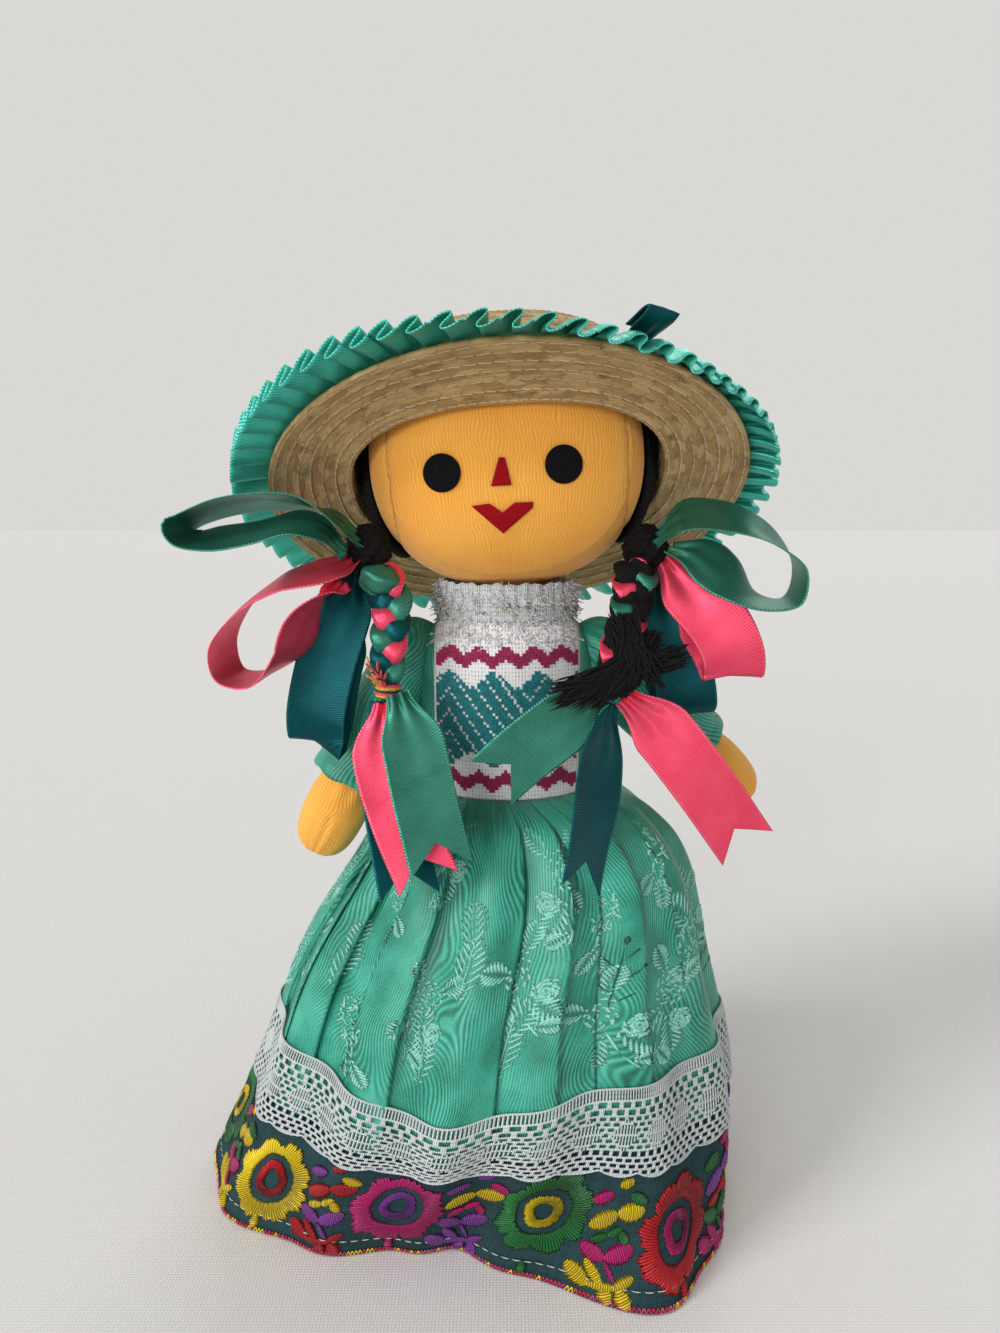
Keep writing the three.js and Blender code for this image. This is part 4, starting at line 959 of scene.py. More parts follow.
BOW_LOOPS = {
    "right_mint_loop": (
        [(-2, -5, 2.5), (-9, -12, 10.5), (-20, -14.5, 15.4), (-34, -15, 16), (-48, -15.5, 13.4),
         (-57.8, -16.5, 8.2), (-55.2, -17.3, 4.2), (-46, -18, 4), (-33, -18.5, 6), (-21, -18, 9.2),
         (-12, -15.5, 7), (-6.5, -11, -0.5)],
        [(0, 0.9, 0.35), (0, 0.95, 0.1), (0, 0.96, -0.25), (0, 0.96, -0.25), (0.05, 0.97, -0.2),
         (0.25, 0.96, 0), (0.2, 0.96, 0.15), (0, 0.94, 0.34), (0, 0.93, 0.36), (0, 0.92, 0.38),
         (0, 0.9, 0.4), (0, 0.9, 0.4)]),
    "right_coral_loop": (
        [(-5, -4, -3), (-13, -14, -6.2), (-26, -17, -9.6), (-38.5, -18, -18), (-46, -18, -30),
         (-43.6, -18, -40), (-33.5, -19, -41), (-23.5, -19.5, -32.5), (-18, -19.5, -21), (-12, -17, -13.5),
         (-7, -12, -10.5)],
        [(0.1, 0.9, 0.4), (0.1, 0.93, 0.32), (0.1, 0.95, 0.27), (0.1, 0.97, 0.18), (0.15, 0.98, 0.05),
         (0.2, 0.98, 0), (0.3, 0.93, 0.15), (0.5, 0.82, 0.25), (0.5, 0.82, 0.3), (0.35, 0.87, 0.4),
         (0.2, 0.9, 0.4)]),
    "right_teal_loop": (
        [(-4.5, -1.5, -5.5), (-9, -7.5, -22), (-14.5, -9.8, -40), (-17.6, -10.6, -56), (-17.6, -8.2, -64.5),
         (-15.8, -5.8, -56), (-13, -5.4, -42), (-9.5, -4.8, -28), (-7.5, -3.4, -17)],
        (0.88, 0, -0.47)),
    "left_mint_loop": (
        [(2.5, -4.5, 3.5), (10, -13, 11.5), (23.5, -17, 11), (36.8, -18, 5.4), (45.8, -18, -4.6),
         (44, -19, -14.4), (34, -20, -14.5), (22.5, -19.5, -6.8), (13, -16.5, 0), (6.5, -11, 0.6)],
        [(0, 0.9, 0.4), (0, 0.88, 0.45), (0.05, 0.88, 0.45), (0.1, 0.95, 0.25), (0, 1, 0.05), (0, 1, 0.05),
         (0.1, 0.97, 0.2), (0.35, 0.72, 0.6), (0.35, 0.7, 0.62), (0.1, 0.9, 0.4)]),
    "left_coral_loop": (
        [(5.5, -3.5, -2.5), (13.5, -14, -13), (22.6, -17, -24), (27, -17, -34), (27.6, -13.6, -40.4),
         (25.4, -10, -34), (18.2, -9, -22), (9.5, -8, -12)],
        [(0.8, 0, 0.6), (0.8, 0, 0.6), (0.85, 0, 0.5), (0.95, 0, 0.25), (1, 0, 0.05), (0.95, 0, 0.2),
         (0.85, 0, 0.5), (0.8, 0, 0.6)]),
    "left_teal_loop": (
        [(5, -1, -5), (8.5, -6, -22), (12.2, -7.6, -39), (14.4, -6.6, -53), (13.6, -3.4, -56),
         (9.5, -2.6, -38), (6.5, -2, -18.5)],
        (0.94, 0, 0.34)),
}
TAILS = {
    "right_mint_tail": (
        [(3.2, -4.6, 0), (8.5, -11.5, -14), (12.5, -18.5, -30), (18.5, -26.5, -51)], (0.93, 0.25, 0.27)),
    "right_coral_tail": (
        [(-1, -2.6, -3.5), (-1, -8.5, -19), (4, -14.5, -35), (14, -22, -57)], (0.95, 0.1, 0.3)),
    "right_teal_tail": (
        [(-2.5, 1.6, -3.6), (0, -5, -26), (4, -14.4, -45), (8, -22.6, -61)], (0.82, 0.5, 0.2)),
    "left_mint_tail": (
        [(-2.4, -4.4, -0.4), (-16, -10.5, -9), (-28, -12.5, -18), (-38, -14, -27)], (0.63, 0, -0.78)),
    "left_teal_tail": (
        [(0.4, -2.2, -3.6), (-2, -7.6, -19), (-6, -19, -36), (-10, -29, -56)], (0.64, 0.74, 0.1)),
    "left_coral_tail": (
        [(4.6, -5, -1), (15, -6.5, -10), (29.5, -7.5, -28), (46.5, -4, -52)], (0.78, 0, 0.63)),
}
for name, (knots, lay) in BOW_LOOPS.items():
    side, dye = name.split("_")[:2]
    knot = KNOT * (-1 if side == "right" else 1, 1, 1)
    points, flat, length = ribbon(knot + knots, lay)
    loop = add_piece(f"satin_{name}", "dressed_head", points, flat, satins[dye], [name], thick=RIBBON_THICK)
for name, (knots, lay) in TAILS.items():
    side, dye = name.split("_")[:2]
    points, flat, length = ribbon(ties[side] + knots, lay, notch=NOTCH, looped=False)
    tail = add_piece(f"satin_{name}", f"{side}_braid", points, flat, satins[dye], [name], thick=RIBBON_THICK)

HAT_LOOP_TURN = -61
HAT_LOOP_HALF = 5
HAT_LOOP_CLEAR = 0.8
hat_loop_top = RUFFLE_SIDE + RUFFLE_DEPTH + HAT_LOOP_CLEAR
hat_loop_line = [
    (68, 0, hat_loop_top - 1.3), (80, 0, hat_loop_top + 0.2), (88.5, 0, hat_loop_top - 0.9),
    (91.5, 0, hat_loop_top + 0.2), (89, 0, hat_loop_top + 1.9), (80, 0, hat_loop_top + 2.6),
]
points, flat, length = ribbon(hat_loop_line, (0, 1, 0), half=HAT_LOOP_HALF, looped=False)
hat_loop = add_piece(
    "satin_hat_loop", "dressed_head", on_hat(turned(points, 2, HAT_LOOP_TURN)), flat, satins["teal"],
    ["hat_loop"], thick=RIBBON_THICK)

# Bodice: a white evenweave panel over the chest, let into a mint blouse that closes at the back.
# Both are sewn snug over the torso and are caught into the skirt at the waist.
PANEL_HALF = 24.5
BODICE_LOW, BODICE_HIGH = 147.3, 208
BODICE_GROW = 0.9
BODICE_THICK = 0.9
BLOUSE_RADIUS = 28
PANEL_SEAM = 0.2
WAIST_GATHER, GATHER_HEIGHT = 0.25, 6
FRONT_SHARE = 0.985
SLIT_APART, SLIT_STEP = 1.1, 1.3
WATERED_PITCH = 1.5
WHITE_PALE, WHITE_DEEP = "f4f4f4", "8a8482"
BROCADE_PALE, BROCADE_MID, BROCADE_DEEP = "5cc6ad", "27937b", "0b5a48"


def bodice_radius(height):
    """Radius of the dressed torso at a height, off its smooth profile."""
    return np.interp(height, torso_line[:, 1], torso_line[:, 0]) + BODICE_GROW


def panel_point(x, height, lift):
    """Front of the bodice at a distance from the middle: an oval section, flattened front to back."""
    reach = bodice_radius(height) + lift
    x = np.clip(x, -FRONT_SHARE * reach, FRONT_SHARE * reach)
    return grid(x, -BODY_FLATTEN * np.sqrt(reach ** 2 - x ** 2), height)


evenweave = start_finish("white_evenweave", {"Sheen Weight": 0.1})
across, along = evenweave.cloth()
slit = (0.17 - abs(across % SLIT_APART - SLIT_APART / 2)).ease(0, 0.1)
slit = slit * (0.4 - abs(along % SLIT_STEP - SLIT_STEP / 2)).ease(0, 0.2)
hole = slit * (evenweave.chance(across / SLIT_APART, along / SLIT_STEP) * 0.75 + 0.25)
thread, tone = evenweave.placed(plain_weave, across=across, along=along, pitch=0.5)
fluff = evenweave.noise(across, along, 0.7, 3.0)
shadow = (hole * 0.8 + (fluff * 0.5 + tone * 0.2) * 0.3).ease(0, 1)
white_evenweave = end_finish(
    evenweave,
    evenweave.mix(shadow, dyed(WHITE_PALE), dyed(WHITE_DEEP)),
    0.92 - thread * 0.1,
    thread * 0.12 + fluff * 0.1 - hole * 0.5,
)

height = np.linspace(BODICE_LOW, BODICE_HIGH, 61)[:, None]
x = np.linspace(-PANEL_HALF, PANEL_HALF, 61)
panel = add_piece(
    "evenweave_panel", "dressed_torso", panel_point(x, height, 0), grid(x, height), white_evenweave,
    ["embroidered_panel"], thick=BODICE_THICK)

watered = start_finish("mint_brocade", {
    "Sheen Weight": 0.1, "Sheen Roughness": 0.35, "Anisotropic": 0.4, "Specular IOR Level": 0.45})
across, along = watered.cloth()
drift = watered.noise(across, along, 42.0, 1.0)
ripple = (across + along * 0.15 + drift * 52 + watered.noise(across, along, 6.0)).wave(WATERED_PITCH)
strength = watered.noise(across + 70, along, 20.0).ease(0.3, 0.62)
grain = watered.noise(across * 0.2, along, 0.3, 2.0)
cloudy = watered.noise(across, along + 90, 16.0, 3.0)
share = ((ripple - 0.5) * strength * 0.36 - 0.03 + grain * 0.3 + cloudy * 0.68).ease(0, 1)
ground = watered.mix(share.ease(0, 0.55), dyed(BROCADE_DEEP), dyed(BROCADE_MID))
mint_brocade = end_finish(
    watered,
    watered.mix(share.ease(0.35, 1), ground, dyed(BROCADE_PALE)),
    0.4 + grain * 0.15 - ripple * 0.05,
    ripple * strength * 0.02 + grain * 0.05,
)

edge = np.arcsin(np.minimum((PANEL_HALF + PANEL_SEAM) / bodice_radius(height), FRONT_SHARE))
share = np.linspace(0, 1, 121)
turn = -np.pi / 2 + edge + share * (2 * np.pi - 2 * edge)
gather = WAIST_GATHER * np.cos(26 * turn) * np.exp(-(height - BODICE_LOW) / GATHER_HEIGHT)
reach = bodice_radius(height) + gather
blouse = add_piece(
    "mint_blouse", "dressed_torso", revolve(reach, turn, height, BODY_FLATTEN),
    grid(BLOUSE_RADIUS * turn, height), mint_brocade, ["blouse"], thick=BODICE_THICK)

# Cross-stitch: each stitch is two short strands of cotton crossed over one square of the evenweave.
# Magenta zigzags run along the top and the bottom, with teal chevrons and open white lines between them.
CELL = 1.0
CELLS_HALF = 23.5
STRAND_THICK, STRAND_REACH = 0.34, 0.56
STRAND_LIFT, STRAND_ARCH, CROSSING = 0.42, 0.34, 0.16
ZIGZAG_TOP, ZIGZAG_LOW = 196.6, 154.0
ZIGZAG_START = -18.8
ZIGZAG_PITCH, ZIGZAG_RISE, ZIGZAG_HALF = 9.2, 1.7, 2.2
CHEVRON_FOOT, CHEVRON_HALF, CHEVRON_SLOPE = -19.6, 27.0, 1.5
CHEVRON_STRIPE, CHEVRON_GAP = 7.4, 1.1
CHEVRON_TOP, CHEVRON_LOW = 189.2, 161.5
POINT_PITCH = 15
MAGENTA, TEAL_STITCH = "a80a58", "00858c"


def triangle(value, pitch):
    """Triangle wave from -1 to 1 that peaks at zero."""
    return 1 - 4 * np.abs((value / pitch + 0.5) % 1 - 0.5)


cell_x, cell_z = np.meshgrid(
    np.arange(-CELLS_HALF, CELLS_HALF + CELL / 2, CELL), np.arange(BODICE_LOW + 1.2, BODICE_HIGH - 1, CELL))
zigzag = ZIGZAG_RISE * triangle(cell_x - ZIGZAG_START, ZIGZAG_PITCH)
magenta = np.minimum(np.abs(cell_z - ZIGZAG_TOP - zigzag), np.abs(cell_z - ZIGZAG_LOW - zigzag)) < ZIGZAG_HALF
slope = CHEVRON_HALF - np.abs(CHEVRON_HALF - (cell_x - CHEVRON_FOOT) % (2 * CHEVRON_HALF))
striped = (cell_z + CHEVRON_SLOPE * slope) % CHEVRON_STRIPE > CHEVRON_GAP
below = cell_z < CHEVRON_TOP + 3.2 * triangle(cell_x - CHEVRON_FOOT, POINT_PITCH)
above = cell_z > CHEVRON_LOW + 3.0 * triangle(cell_x - CHEVRON_FOOT + POINT_PITCH / 2, POINT_PITCH)
teal = striped & below & above & ~magenta
stitched = magenta | teal
colours = np.where(magenta[..., None], dyed(MAGENTA), dyed(TEAL_STITCH))[stitched]
middle_x, middle_z = cell_x[stitched], cell_z[stitched]
rng = np.random.default_rng(3)
s = np.linspace(-1, 1, 6)
arms = []
for slant, over in ((1, 0.0), (-1, CROSSING)):
    reach = STRAND_REACH + rng.uniform(-0.05, 0.05, (middle_x.size, 1))
    loose = rng.uniform(-0.07, 0.07, (middle_x.size, 2, 1))
    x = middle_x[:, None] + reach * s + loose[:, 0]
    z = middle_z[:, None] + slant * reach * s + loose[:, 1]
    arms.append(panel_point(x, z, STRAND_LIFT + over + STRAND_ARCH * (1 - s ** 2)))
strand = np.stack(arms, axis=1)
thick = STRAND_THICK * np.array([0, 0.9, 1, 1, 0.9, 0])
shades = colours * rng.uniform(0.75, 1.2, (middle_x.size, 1))
shades[:, 3] = 1
stitches = add_piece(
    "cross_stitch", "dressed_torso", sweep(strand, np.array([0, -1, 0]), thick, thick * 0.8, 6),
    grid(np.linspace(0, 2, 7), 0.7 * s[:, None]), wound_thread, tint=shades[:, None, None, None])

# Collar: a stand-up band of silvery lace round the neck, its tinsel threads frayed and curling loose.
# Its lower edge is sewn to the bodice.
COLLAR_RADIUS = 23.4
COLLAR_LOW, COLLAR_HIGH = 207.6, 220.2
COLLAR_CUT, COLLAR_THICK = 12.5, 0.6
TINSEL = 1350
TINSEL_THICK = 0.16
TINSEL_COLOURS = ("ffffff", "f8f9fa", "eceef0", "d9dcdf", "47474b", "cdb98c")
LACE_PALE, LACE_DEEP = "e3e6e7", "8a9795"

net = start_finish("silver_lace", {"Sheen Weight": 0.1, "Specular IOR Level": 0.6})
across, along = net.cloth()
cord = across.wave(0.62) * 0.75 + along.wave(1.4) * 0.25
knots = net.noise(across, along, 0.8, 3.0)
glint = net.noise(across + 30, along, 0.6, 1.0).ease(0.6, 0.68)
silver_lace = end_finish(
    net,
    net.mix((cord * 0.8 + knots * 0.5 - 0.15).ease(0, 1), dyed(LACE_DEEP), dyed(LACE_PALE)),
    0.62 - glint * 0.35,
    cord * 0.14 + knots * 0.16,
)

height = np.linspace(0, 1, 25)[:, None]
turn = circuit(240)
ruff = 0.45 * np.cos(34 * turn + np.sin(3 * turn)) * (0.4 + 0.6 * height)
ruff = ruff + 0.25 * np.sin(71 * turn) * height
ragged = 0.6 * np.sin(23 * turn) * np.sin(9 * turn + 1) * height ** 4
rise = COLLAR_LOW + (COLLAR_HIGH - COLLAR_LOW) * height + ragged
collar = add_piece(
    "lace_collar", None, revolve(COLLAR_RADIUS + ruff, turn, rise, BODY_FLATTEN),
    grid(COLLAR_RADIUS * turn, COLLAR_CUT * height), silver_lace, ["collar"], thick=COLLAR_THICK)
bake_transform(collar)

rng = np.random.default_rng(5)
s = np.linspace(0, 1, 12)
start = rng.uniform(0, 2 * np.pi, (TINSEL, 1))
level = rng.beta(1.4, 1.8, (TINSEL, 1))
in_front = np.cos(start + np.pi / 2) > 0.55
hangs_down = in_front & (rng.uniform(0, 1, (TINSEL, 1)) < 0.6)
level = np.where(hangs_down, -0.62 * rng.uniform(0, 1, (TINSEL, 1)), level)
run = rng.uniform(-0.16, 0.16, (TINSEL, 1))
climb = rng.uniform(-4.0, 5.0, (TINSEL, 1))
curl = rng.uniform(0, 6, (TINSEL, 1))
turn = start + run * s + 0.02 * np.sin(9 * s + curl)
rise = COLLAR_LOW + level * 11.5 + climb * s * (1 - 0.4 * s) + 0.4 * np.cos(13 * s + curl)
reach = np.maximum(COLLAR_RADIUS, bodice_radius(rise)) + 0.75 + 0.5 * np.sin(11 * s + curl)
reach = reach + 3.4 * s ** 1.5 * rng.uniform(0, 1, (TINSEL, 1)) ** 4
paths = revolve(reach, turn, np.minimum(rise, COLLAR_HIGH + 0.8), BODY_FLATTEN)
thick = TINSEL_THICK * np.array([0.0] + [1.0] * 10 + [0.0])
greys = np.array([dyed(code) for code in TINSEL_COLOURS])
dull = (np.abs(level[:, 0] - 0.32) < 0.14) * rng.integers(0, 6, TINSEL)
shades = greys[np.maximum(dull, rng.integers(0, 4, TINSEL))][:, None, None]
tinsel = add_piece(
    "collar_tinsel", None, sweep(paths, np.array([0.2, 0.1, 1]), thick, thick, 5),
    grid(np.linspace(0, 1, 6), 8 * s[:, None]), wound_thread, tint=shades)
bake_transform(tinsel)

# Sleeves: mint cloth set in over the shoulder with a little fullness, hemmed loose above the hand.
# Each is one piece sewn into a tube, closed over the top of the arm and carried along with it.
SLEEVE_PROFILE = [
    (0, 12.4), (4.5, 11.7), (9, 8.8), (12, 3.5), (12.7, -4), (12.8, -16), (13.1, -28), (13.7, -40),
    (14.3, -50.4),
]
SLEEVE_RADIUS, SLEEVE_THICK = 13, 0.7
SLEEVE_HEM = -46.5
SLEEVE_CLOTH = 200
radius, height = spline(SLEEVE_PROFILE, 80).T[..., None]
turn = circuit(96)
puff = 0.35 * np.cos(15 * turn) * bell(height - 6, 5)
puff = puff + 0.55 * np.sin(2 * turn + height / 5.2) * bell(height + 18, 14)
puff = puff + 0.5 * np.cos(5 * turn + 1 + height / 17) * np.clip(-(height + 24) / 26, 0, 1)
hem = -0.35 * bell(height - SLEEVE_HEM, 0.7)
wide = radius + (puff + hem) * np.minimum(radius / 8, 1)
tube = revolve(wide, turn, height + 0.4 * np.sin(7 * turn) * (height < -50))
for arm_name in ARM_POSE:
    sleeve = add_piece(
        f"mint_{arm_name}_sleeve", f"{arm_name}_arm", on_arm(tube, arm_name),
        grid(SLEEVE_RADIUS * turn, height + SLEEVE_CLOTH), mint_brocade, [f"{arm_name}_sleeve"],
        thick=SLEEVE_THICK)

# Skirt: one length of mint brocade laid in knife pleats at the waist, opening into soft folds at the hem.
# It stands clear of the legs. At the front it slumps a little, so the hem tucks in under the lace.
WAIST = 147
SEAM_HEIGHT = 46
HEM_HALF_WIDTH, HEM_HALF_DEPTH = 94, 63
HEM_TURN = -13
HEM_SHIFT = (-15, -5)
FOLDS, FOLD_DEPTH = 14, 2.4
KNIFE_PLEATS = 22
KNIFE_DEPTH, KNIFE_LAP = 4.0, 0.42
KNIFE_END, KNIFE_FADE = 42, 100
SLUMP_TURN, SLUMP_SPREAD = -100, 30
SLUMP_DROP, SLUMP_BULGE = 11, 4
SLUMP_LOW, SLUMP_FADE = 20, 46
TUCK_TURN, TUCK_SPREAD, HEM_TUCK = -82, 32, 15
TUCK_HIGH = 62
CORNER_TURN, CORNER_SPREAD, HEM_CORNER = -36, 14, 11
SKIRT_STOPS = [
    (0, 0.3114, 0.3717, 0), (0.05, 0.46, 0.6, -0.28), (0.17, 0.595, 0.75, -0.33), (0.4, 0.752, 0.88, 0.08),
    (0.68, 0.885, 0.97, 0.3), (1, 1, 1, 1),
]
SKIRT_CUT = 560
SKIRT_THICK, SKIRT_LIFT = 0.8, 0.6
PLEAT_STATIONS = 28
skirt_line = spline(SKIRT_STOPS, 200)


def skirt_point(angle, height, grow, crease=1.0):
    """Point of the skirt at an angle round it and a height up its cloth: a rounded box in plan whose sides
    follow the stops from the waist down, with soft folds as a cosine and knife pleats as a sawtooth whose
    panels lap over each other, then turned and shifted a little towards the hem. Folds and pleats hang
    straight. The front sags, its hem tucks in and one corner of the hem flares, each as a bell curve.
    With no crease the point lies on cloth that only follows the folds."""
    fall = 1 - height / WAIST
    wide, deep, shift = (np.interp(fall, skirt_line[:, 0], skirt_line[:, k]) for k in (1, 2, 3))
    power = 2 + 0.7 * fall
    gather = np.minimum(fall / 0.12, 1) * (1 - 0.35 * fall)
    hang = angle + np.radians(HEM_TURN) * fall
    wander = 0.5 * np.sin(2 * hang + 1) + 0.35 * np.sin(3 * hang)
    fold = FOLD_DEPTH * gather * np.cos(FOLDS * hang + wander + 0.6 * fall)
    place = KNIFE_PLEATS * hang / (2 * np.pi) + 0.3 * np.sin(3 * hang + 2) + 0.25 * np.sin(5 * hang)
    saw = place % 1
    deep_pleat = 1 + 0.45 * np.sin(2.4 * np.floor(place % KNIFE_PLEATS))
    crisp = crease * np.clip((height - KNIFE_END) / KNIFE_FADE, 0, 1) ** 0.7
    knife = KNIFE_DEPTH * deep_pleat * (0.3 + 0.7 * gather) * crisp * (saw - 0.5)
    sway = angle + KNIFE_LAP * crisp * (saw - 0.5) * 2 * np.pi / KNIFE_PLEATS
    slump, tucked, corner = (
        bell((np.degrees(angle) - turn + 180) % 360 - 180, spread) for turn, spread in (
            (SLUMP_TURN, SLUMP_SPREAD), (TUCK_TURN, TUCK_SPREAD), (CORNER_TURN, CORNER_SPREAD)))
    middle = np.sin(np.pi * np.clip(height / WAIST, 0, 1) ** 0.75)
    above_hem = np.clip((height - SLUMP_LOW) / SLUMP_FADE, 0, 1)
    sag = SLUMP_DROP * slump * middle * above_hem ** 2 * (3 - 2 * above_hem)
    to_hem = np.clip(1 - height / TUCK_HIGH, 0, 1)
    out = fold + knife + grow + SLUMP_BULGE * slump * middle
    out = out - HEM_TUCK * tucked * to_hem + HEM_CORNER * corner * to_hem ** 2
    half_x = HEM_HALF_WIDTH * wide + out
    half_y = HEM_HALF_DEPTH * deep + out
    oval = np.abs(np.cos(sway) / half_x) ** power + np.abs(np.sin(sway) / half_y) ** power
    radius = oval ** (-1 / power)
    heading = sway + np.radians(HEM_TURN) * fall
    east = HEM_SHIFT[0] * shift
    north = HEM_SHIFT[1] * np.minimum(fall / 0.2, 1)
    return grid(radius * np.cos(heading) + east, radius * np.sin(heading) + north, height - sag)


turn = np.linspace(-np.pi, np.pi, KNIFE_PLEATS * PLEAT_STATIONS + 1)
height = np.append(np.linspace(SEAM_HEIGHT, 130, 40), np.linspace(132, WAIST, 14))[:, None]
turn = turn - np.radians(HEM_TURN) * (1 - height / WAIST)
skirt = add_piece(
    "brocade_skirt", "dressed_torso", skirt_point(turn, height, SKIRT_LIFT),
    grid(turn / (2 * np.pi) * SKIRT_CUT, height), mint_brocade, ["skirt"], thick=SKIRT_THICK)

# Sprigs: woven into the brocade in glittering floats, as roses with leaves, feathery leaves and cones,
# all bright, and a few dark twigs. Each is a set of short strokes on the flat cloth, given as start, end
# and half width.
SPRIG_ROWS = ((136, 9), (119, 11), (101, 12), (84, 13))
SPRIG_RADIUS = 62
SPRIG_LIFT, SPRIG_BULGE = 1.1, 0.24
SPRIG_LOW, SPRIG_HIGH = 69, 145
FLOAT_BRIGHT, FLOAT_MID, FLOAT_DARK = "a8f3df", "62c8b0", "14604d"
rng = np.random.default_rng(17)


def rose(x, y, size):
    """Three rings of short strokes that run round a middle, each a little off its circle."""
    rings = []
    for ring, count in ((0.25, 5), (0.6, 11), (0.95, 16)):
        turn = np.arange(count) * 2 * np.pi / count + rng.uniform(0, 0.4, count)
        spot = grid(np.cos(turn), np.sin(turn)) * ring * size * rng.uniform(0.85, 1.15, (count, 1))
        along = grid(-np.sin(turn + 0.5), np.cos(turn + 0.5)) * rng.uniform(0.7, 1.3, (count, 1))
        rings.append(np.hstack([spot - along, spot + along, np.full((count, 1), 0.5)]))
    return np.vstack(rings) + (x, y, x, y, 0)


def leaf(x, y, heading, length):
    """Strokes that slant forward from both sides of a midrib, their reach a sine along it."""
    s = np.repeat(np.linspace(0.05, 0.9, 8), 2)
    side = np.tile([1, -1], 8)
    ahead = np.array([np.cos(heading), np.sin(heading)])
    across = np.array([-ahead[1], ahead[0]])
    start = (x, y) + length * s[:, None] * ahead
    reach = 0.34 * length * np.sin(np.pi * s ** 0.8) + 0.4
    end = start + reach[:, None] * (0.8 * ahead + side[:, None] * across)
    return np.hstack([start, end, np.full((16, 1), 0.46)])


def cone(length, count):
    """Short strokes scattered evenly over an oval, pointing every way."""
    turn, reach = rng.uniform(0, 2 * np.pi, count), rng.uniform(0, 1, count) ** 0.5
    spot = grid(0.3 * length * reach * np.cos(turn), 0.5 * length * reach * np.sin(turn))
    along = rng.normal(0, 1, (count, 2)) * 0.75
    return np.hstack([spot - along, spot + along, np.full((count, 1), 0.42)])


spray = np.vstack([
    rose(0, 2, 4.4), rose(5.6, -5, 2.6), leaf(-1, -3, -2.3, 9), leaf(1.5, -4, -1.1, 10), leaf(-3, 5, 2.4, 8),
    leaf(3.5, 5, 0.8, 8), [(0, -2, -0.6, -10, 0.4), (-0.6, -9.5, 1, -16, 0.4)], leaf(0.5, -12, -0.5, 6),
])
feather = np.vstack([leaf(0, -12, 1.57, 15), leaf(0, -2, 1.3, 13), [(0, -16, 0.4, 10, 0.3)]])
cones = np.vstack([cone(17, 70), leaf(-1, -8, -2.0, 7), leaf(1, -8, -1.0, 8)])
twig = np.array([
    (0, 9, 1, -12, 0.3), (0, 4, -5, 9, 0.25), (0.2, 1, 5.5, 6, 0.25), (0.4, -3, -5.5, 2, 0.25),
    (0.6, -6, 6, -1.5, 0.25), (0.8, -9, -4.5, -5.5, 0.25), (-4.8, 8.6, -6.6, 10.6, 0.8),
    (5.3, 5.6, 7.2, 7.6, 0.8), (-5.3, 1.6, -7.2, 3.4, 0.8), (5.8, -1.8, 7.6, 0, 0.8),
    (0, 8.6, -0.2, 11.4, 0.8),
])
sprig_order = [spray, feather, cones, spray, twig, spray, feather, spray, cones]


def spindles(strokes, bulge, stations, sides=6):
    """Satin-stitched leaves on flat cloth, one for each row of start, end and half width: a leaf's width is
    a sine to the power of 0.6 along it, flat beneath and rounded on top. Gives place, lift and cloth map."""
    strokes = np.asarray(strokes, float)
    start, end, half = strokes[:, None, None, :2], strokes[:, None, None, 2:4], strokes[:, None, None, 4]
    s = np.linspace(0, 1, stations)[:, None]
    turn = circuit(sides)
    ragged = 1 + 0.1 * np.cos(np.pi * np.arange(stations))[:, None]
    taper = np.sin(np.pi * s) ** 0.6 * ragged
    line = end - start
    normal = np.stack([-line[..., 1], line[..., 0]], axis=-1) / np.linalg.norm(line, axis=-1, keepdims=True)
    place = start + line * s[..., None] + normal * (half * taper * np.cos(turn))[..., None]
    lift = bulge * taper * np.maximum(np.sin(turn), -0.15) * np.ones_like(half)
    length = np.linalg.norm(line, axis=-1)
    return place, lift, grid(half * np.cos(turn), length * s)


floats = start_finish("brocade_float", {"Metallic": 0.1, "Anisotropic": 0.5, "Specular IOR Level": 0.6})
across, along = floats.cloth()
strand_tone = along.wave(0.6)
# Glint spots are smoother, and only there the float keeps its full tint while the rest is darkened towards
# BROCADE_DEEP: painted glints.
glint_spots = floats.noise(across * 2, along * 2, 0.9, 2.0).ease(0.42, 0.6)
stain = floats.tint()
brocade_float = end_finish(
    floats,
    floats.mix((1 - glint_spots) * 0.22 + strand_tone * 0.06, stain, dyed(BROCADE_DEEP)),
    0.48 - glint_spots * 0.2,
    strand_tone * 0.15 + glint_spots * 0.12,
)
leaves, maps, tints = [], [], []
for level, count in SPRIG_ROWS:
    for sprig in range(count):
        strokes = sprig_order[(4 * sprig + level) % len(sprig_order)]
        place, lift, flat = spindles(strokes, SPRIG_BULGE, 4, 4)
        tilt = rng.uniform(-0.7, 0.7)
        spin = np.array([[np.cos(tilt), -np.sin(tilt)], [np.sin(tilt), np.cos(tilt)]])
        local = (place * (rng.choice([-1, 1]), 1)) @ spin.T * rng.uniform(0.9, 1.2)
        centre = 2 * np.pi * (sprig + rng.uniform(-0.3, 0.3) + level) / count
        around = (centre + local[..., 0] / SPRIG_RADIUS + np.pi) % (2 * np.pi) - np.pi
        up = np.clip(level + rng.uniform(-5, 5) + local[..., 1], SPRIG_LOW, SPRIG_HIGH)
        leaves.append(skirt_point(around, up, SPRIG_LIFT + lift))
        maps.append(flat)
        dull = rng.uniform(0, 0.7, (len(strokes), 1, 1, 1)) ** 1.5
        dyes = (FLOAT_DARK, FLOAT_DARK) if strokes is twig else (FLOAT_BRIGHT, FLOAT_MID)
        fresh, faded = (np.array(dyed(code)) for code in dyes)
        shade = fresh * (1 - dull) + faded * dull
        tints.append(np.broadcast_to(shade, lift.shape + (4,)))
sprigs = add_piece(
    "brocade_sprigs", "dressed_torso", np.concatenate(leaves), np.concatenate(maps), brocade_float,
    tint=np.concatenate(tints))

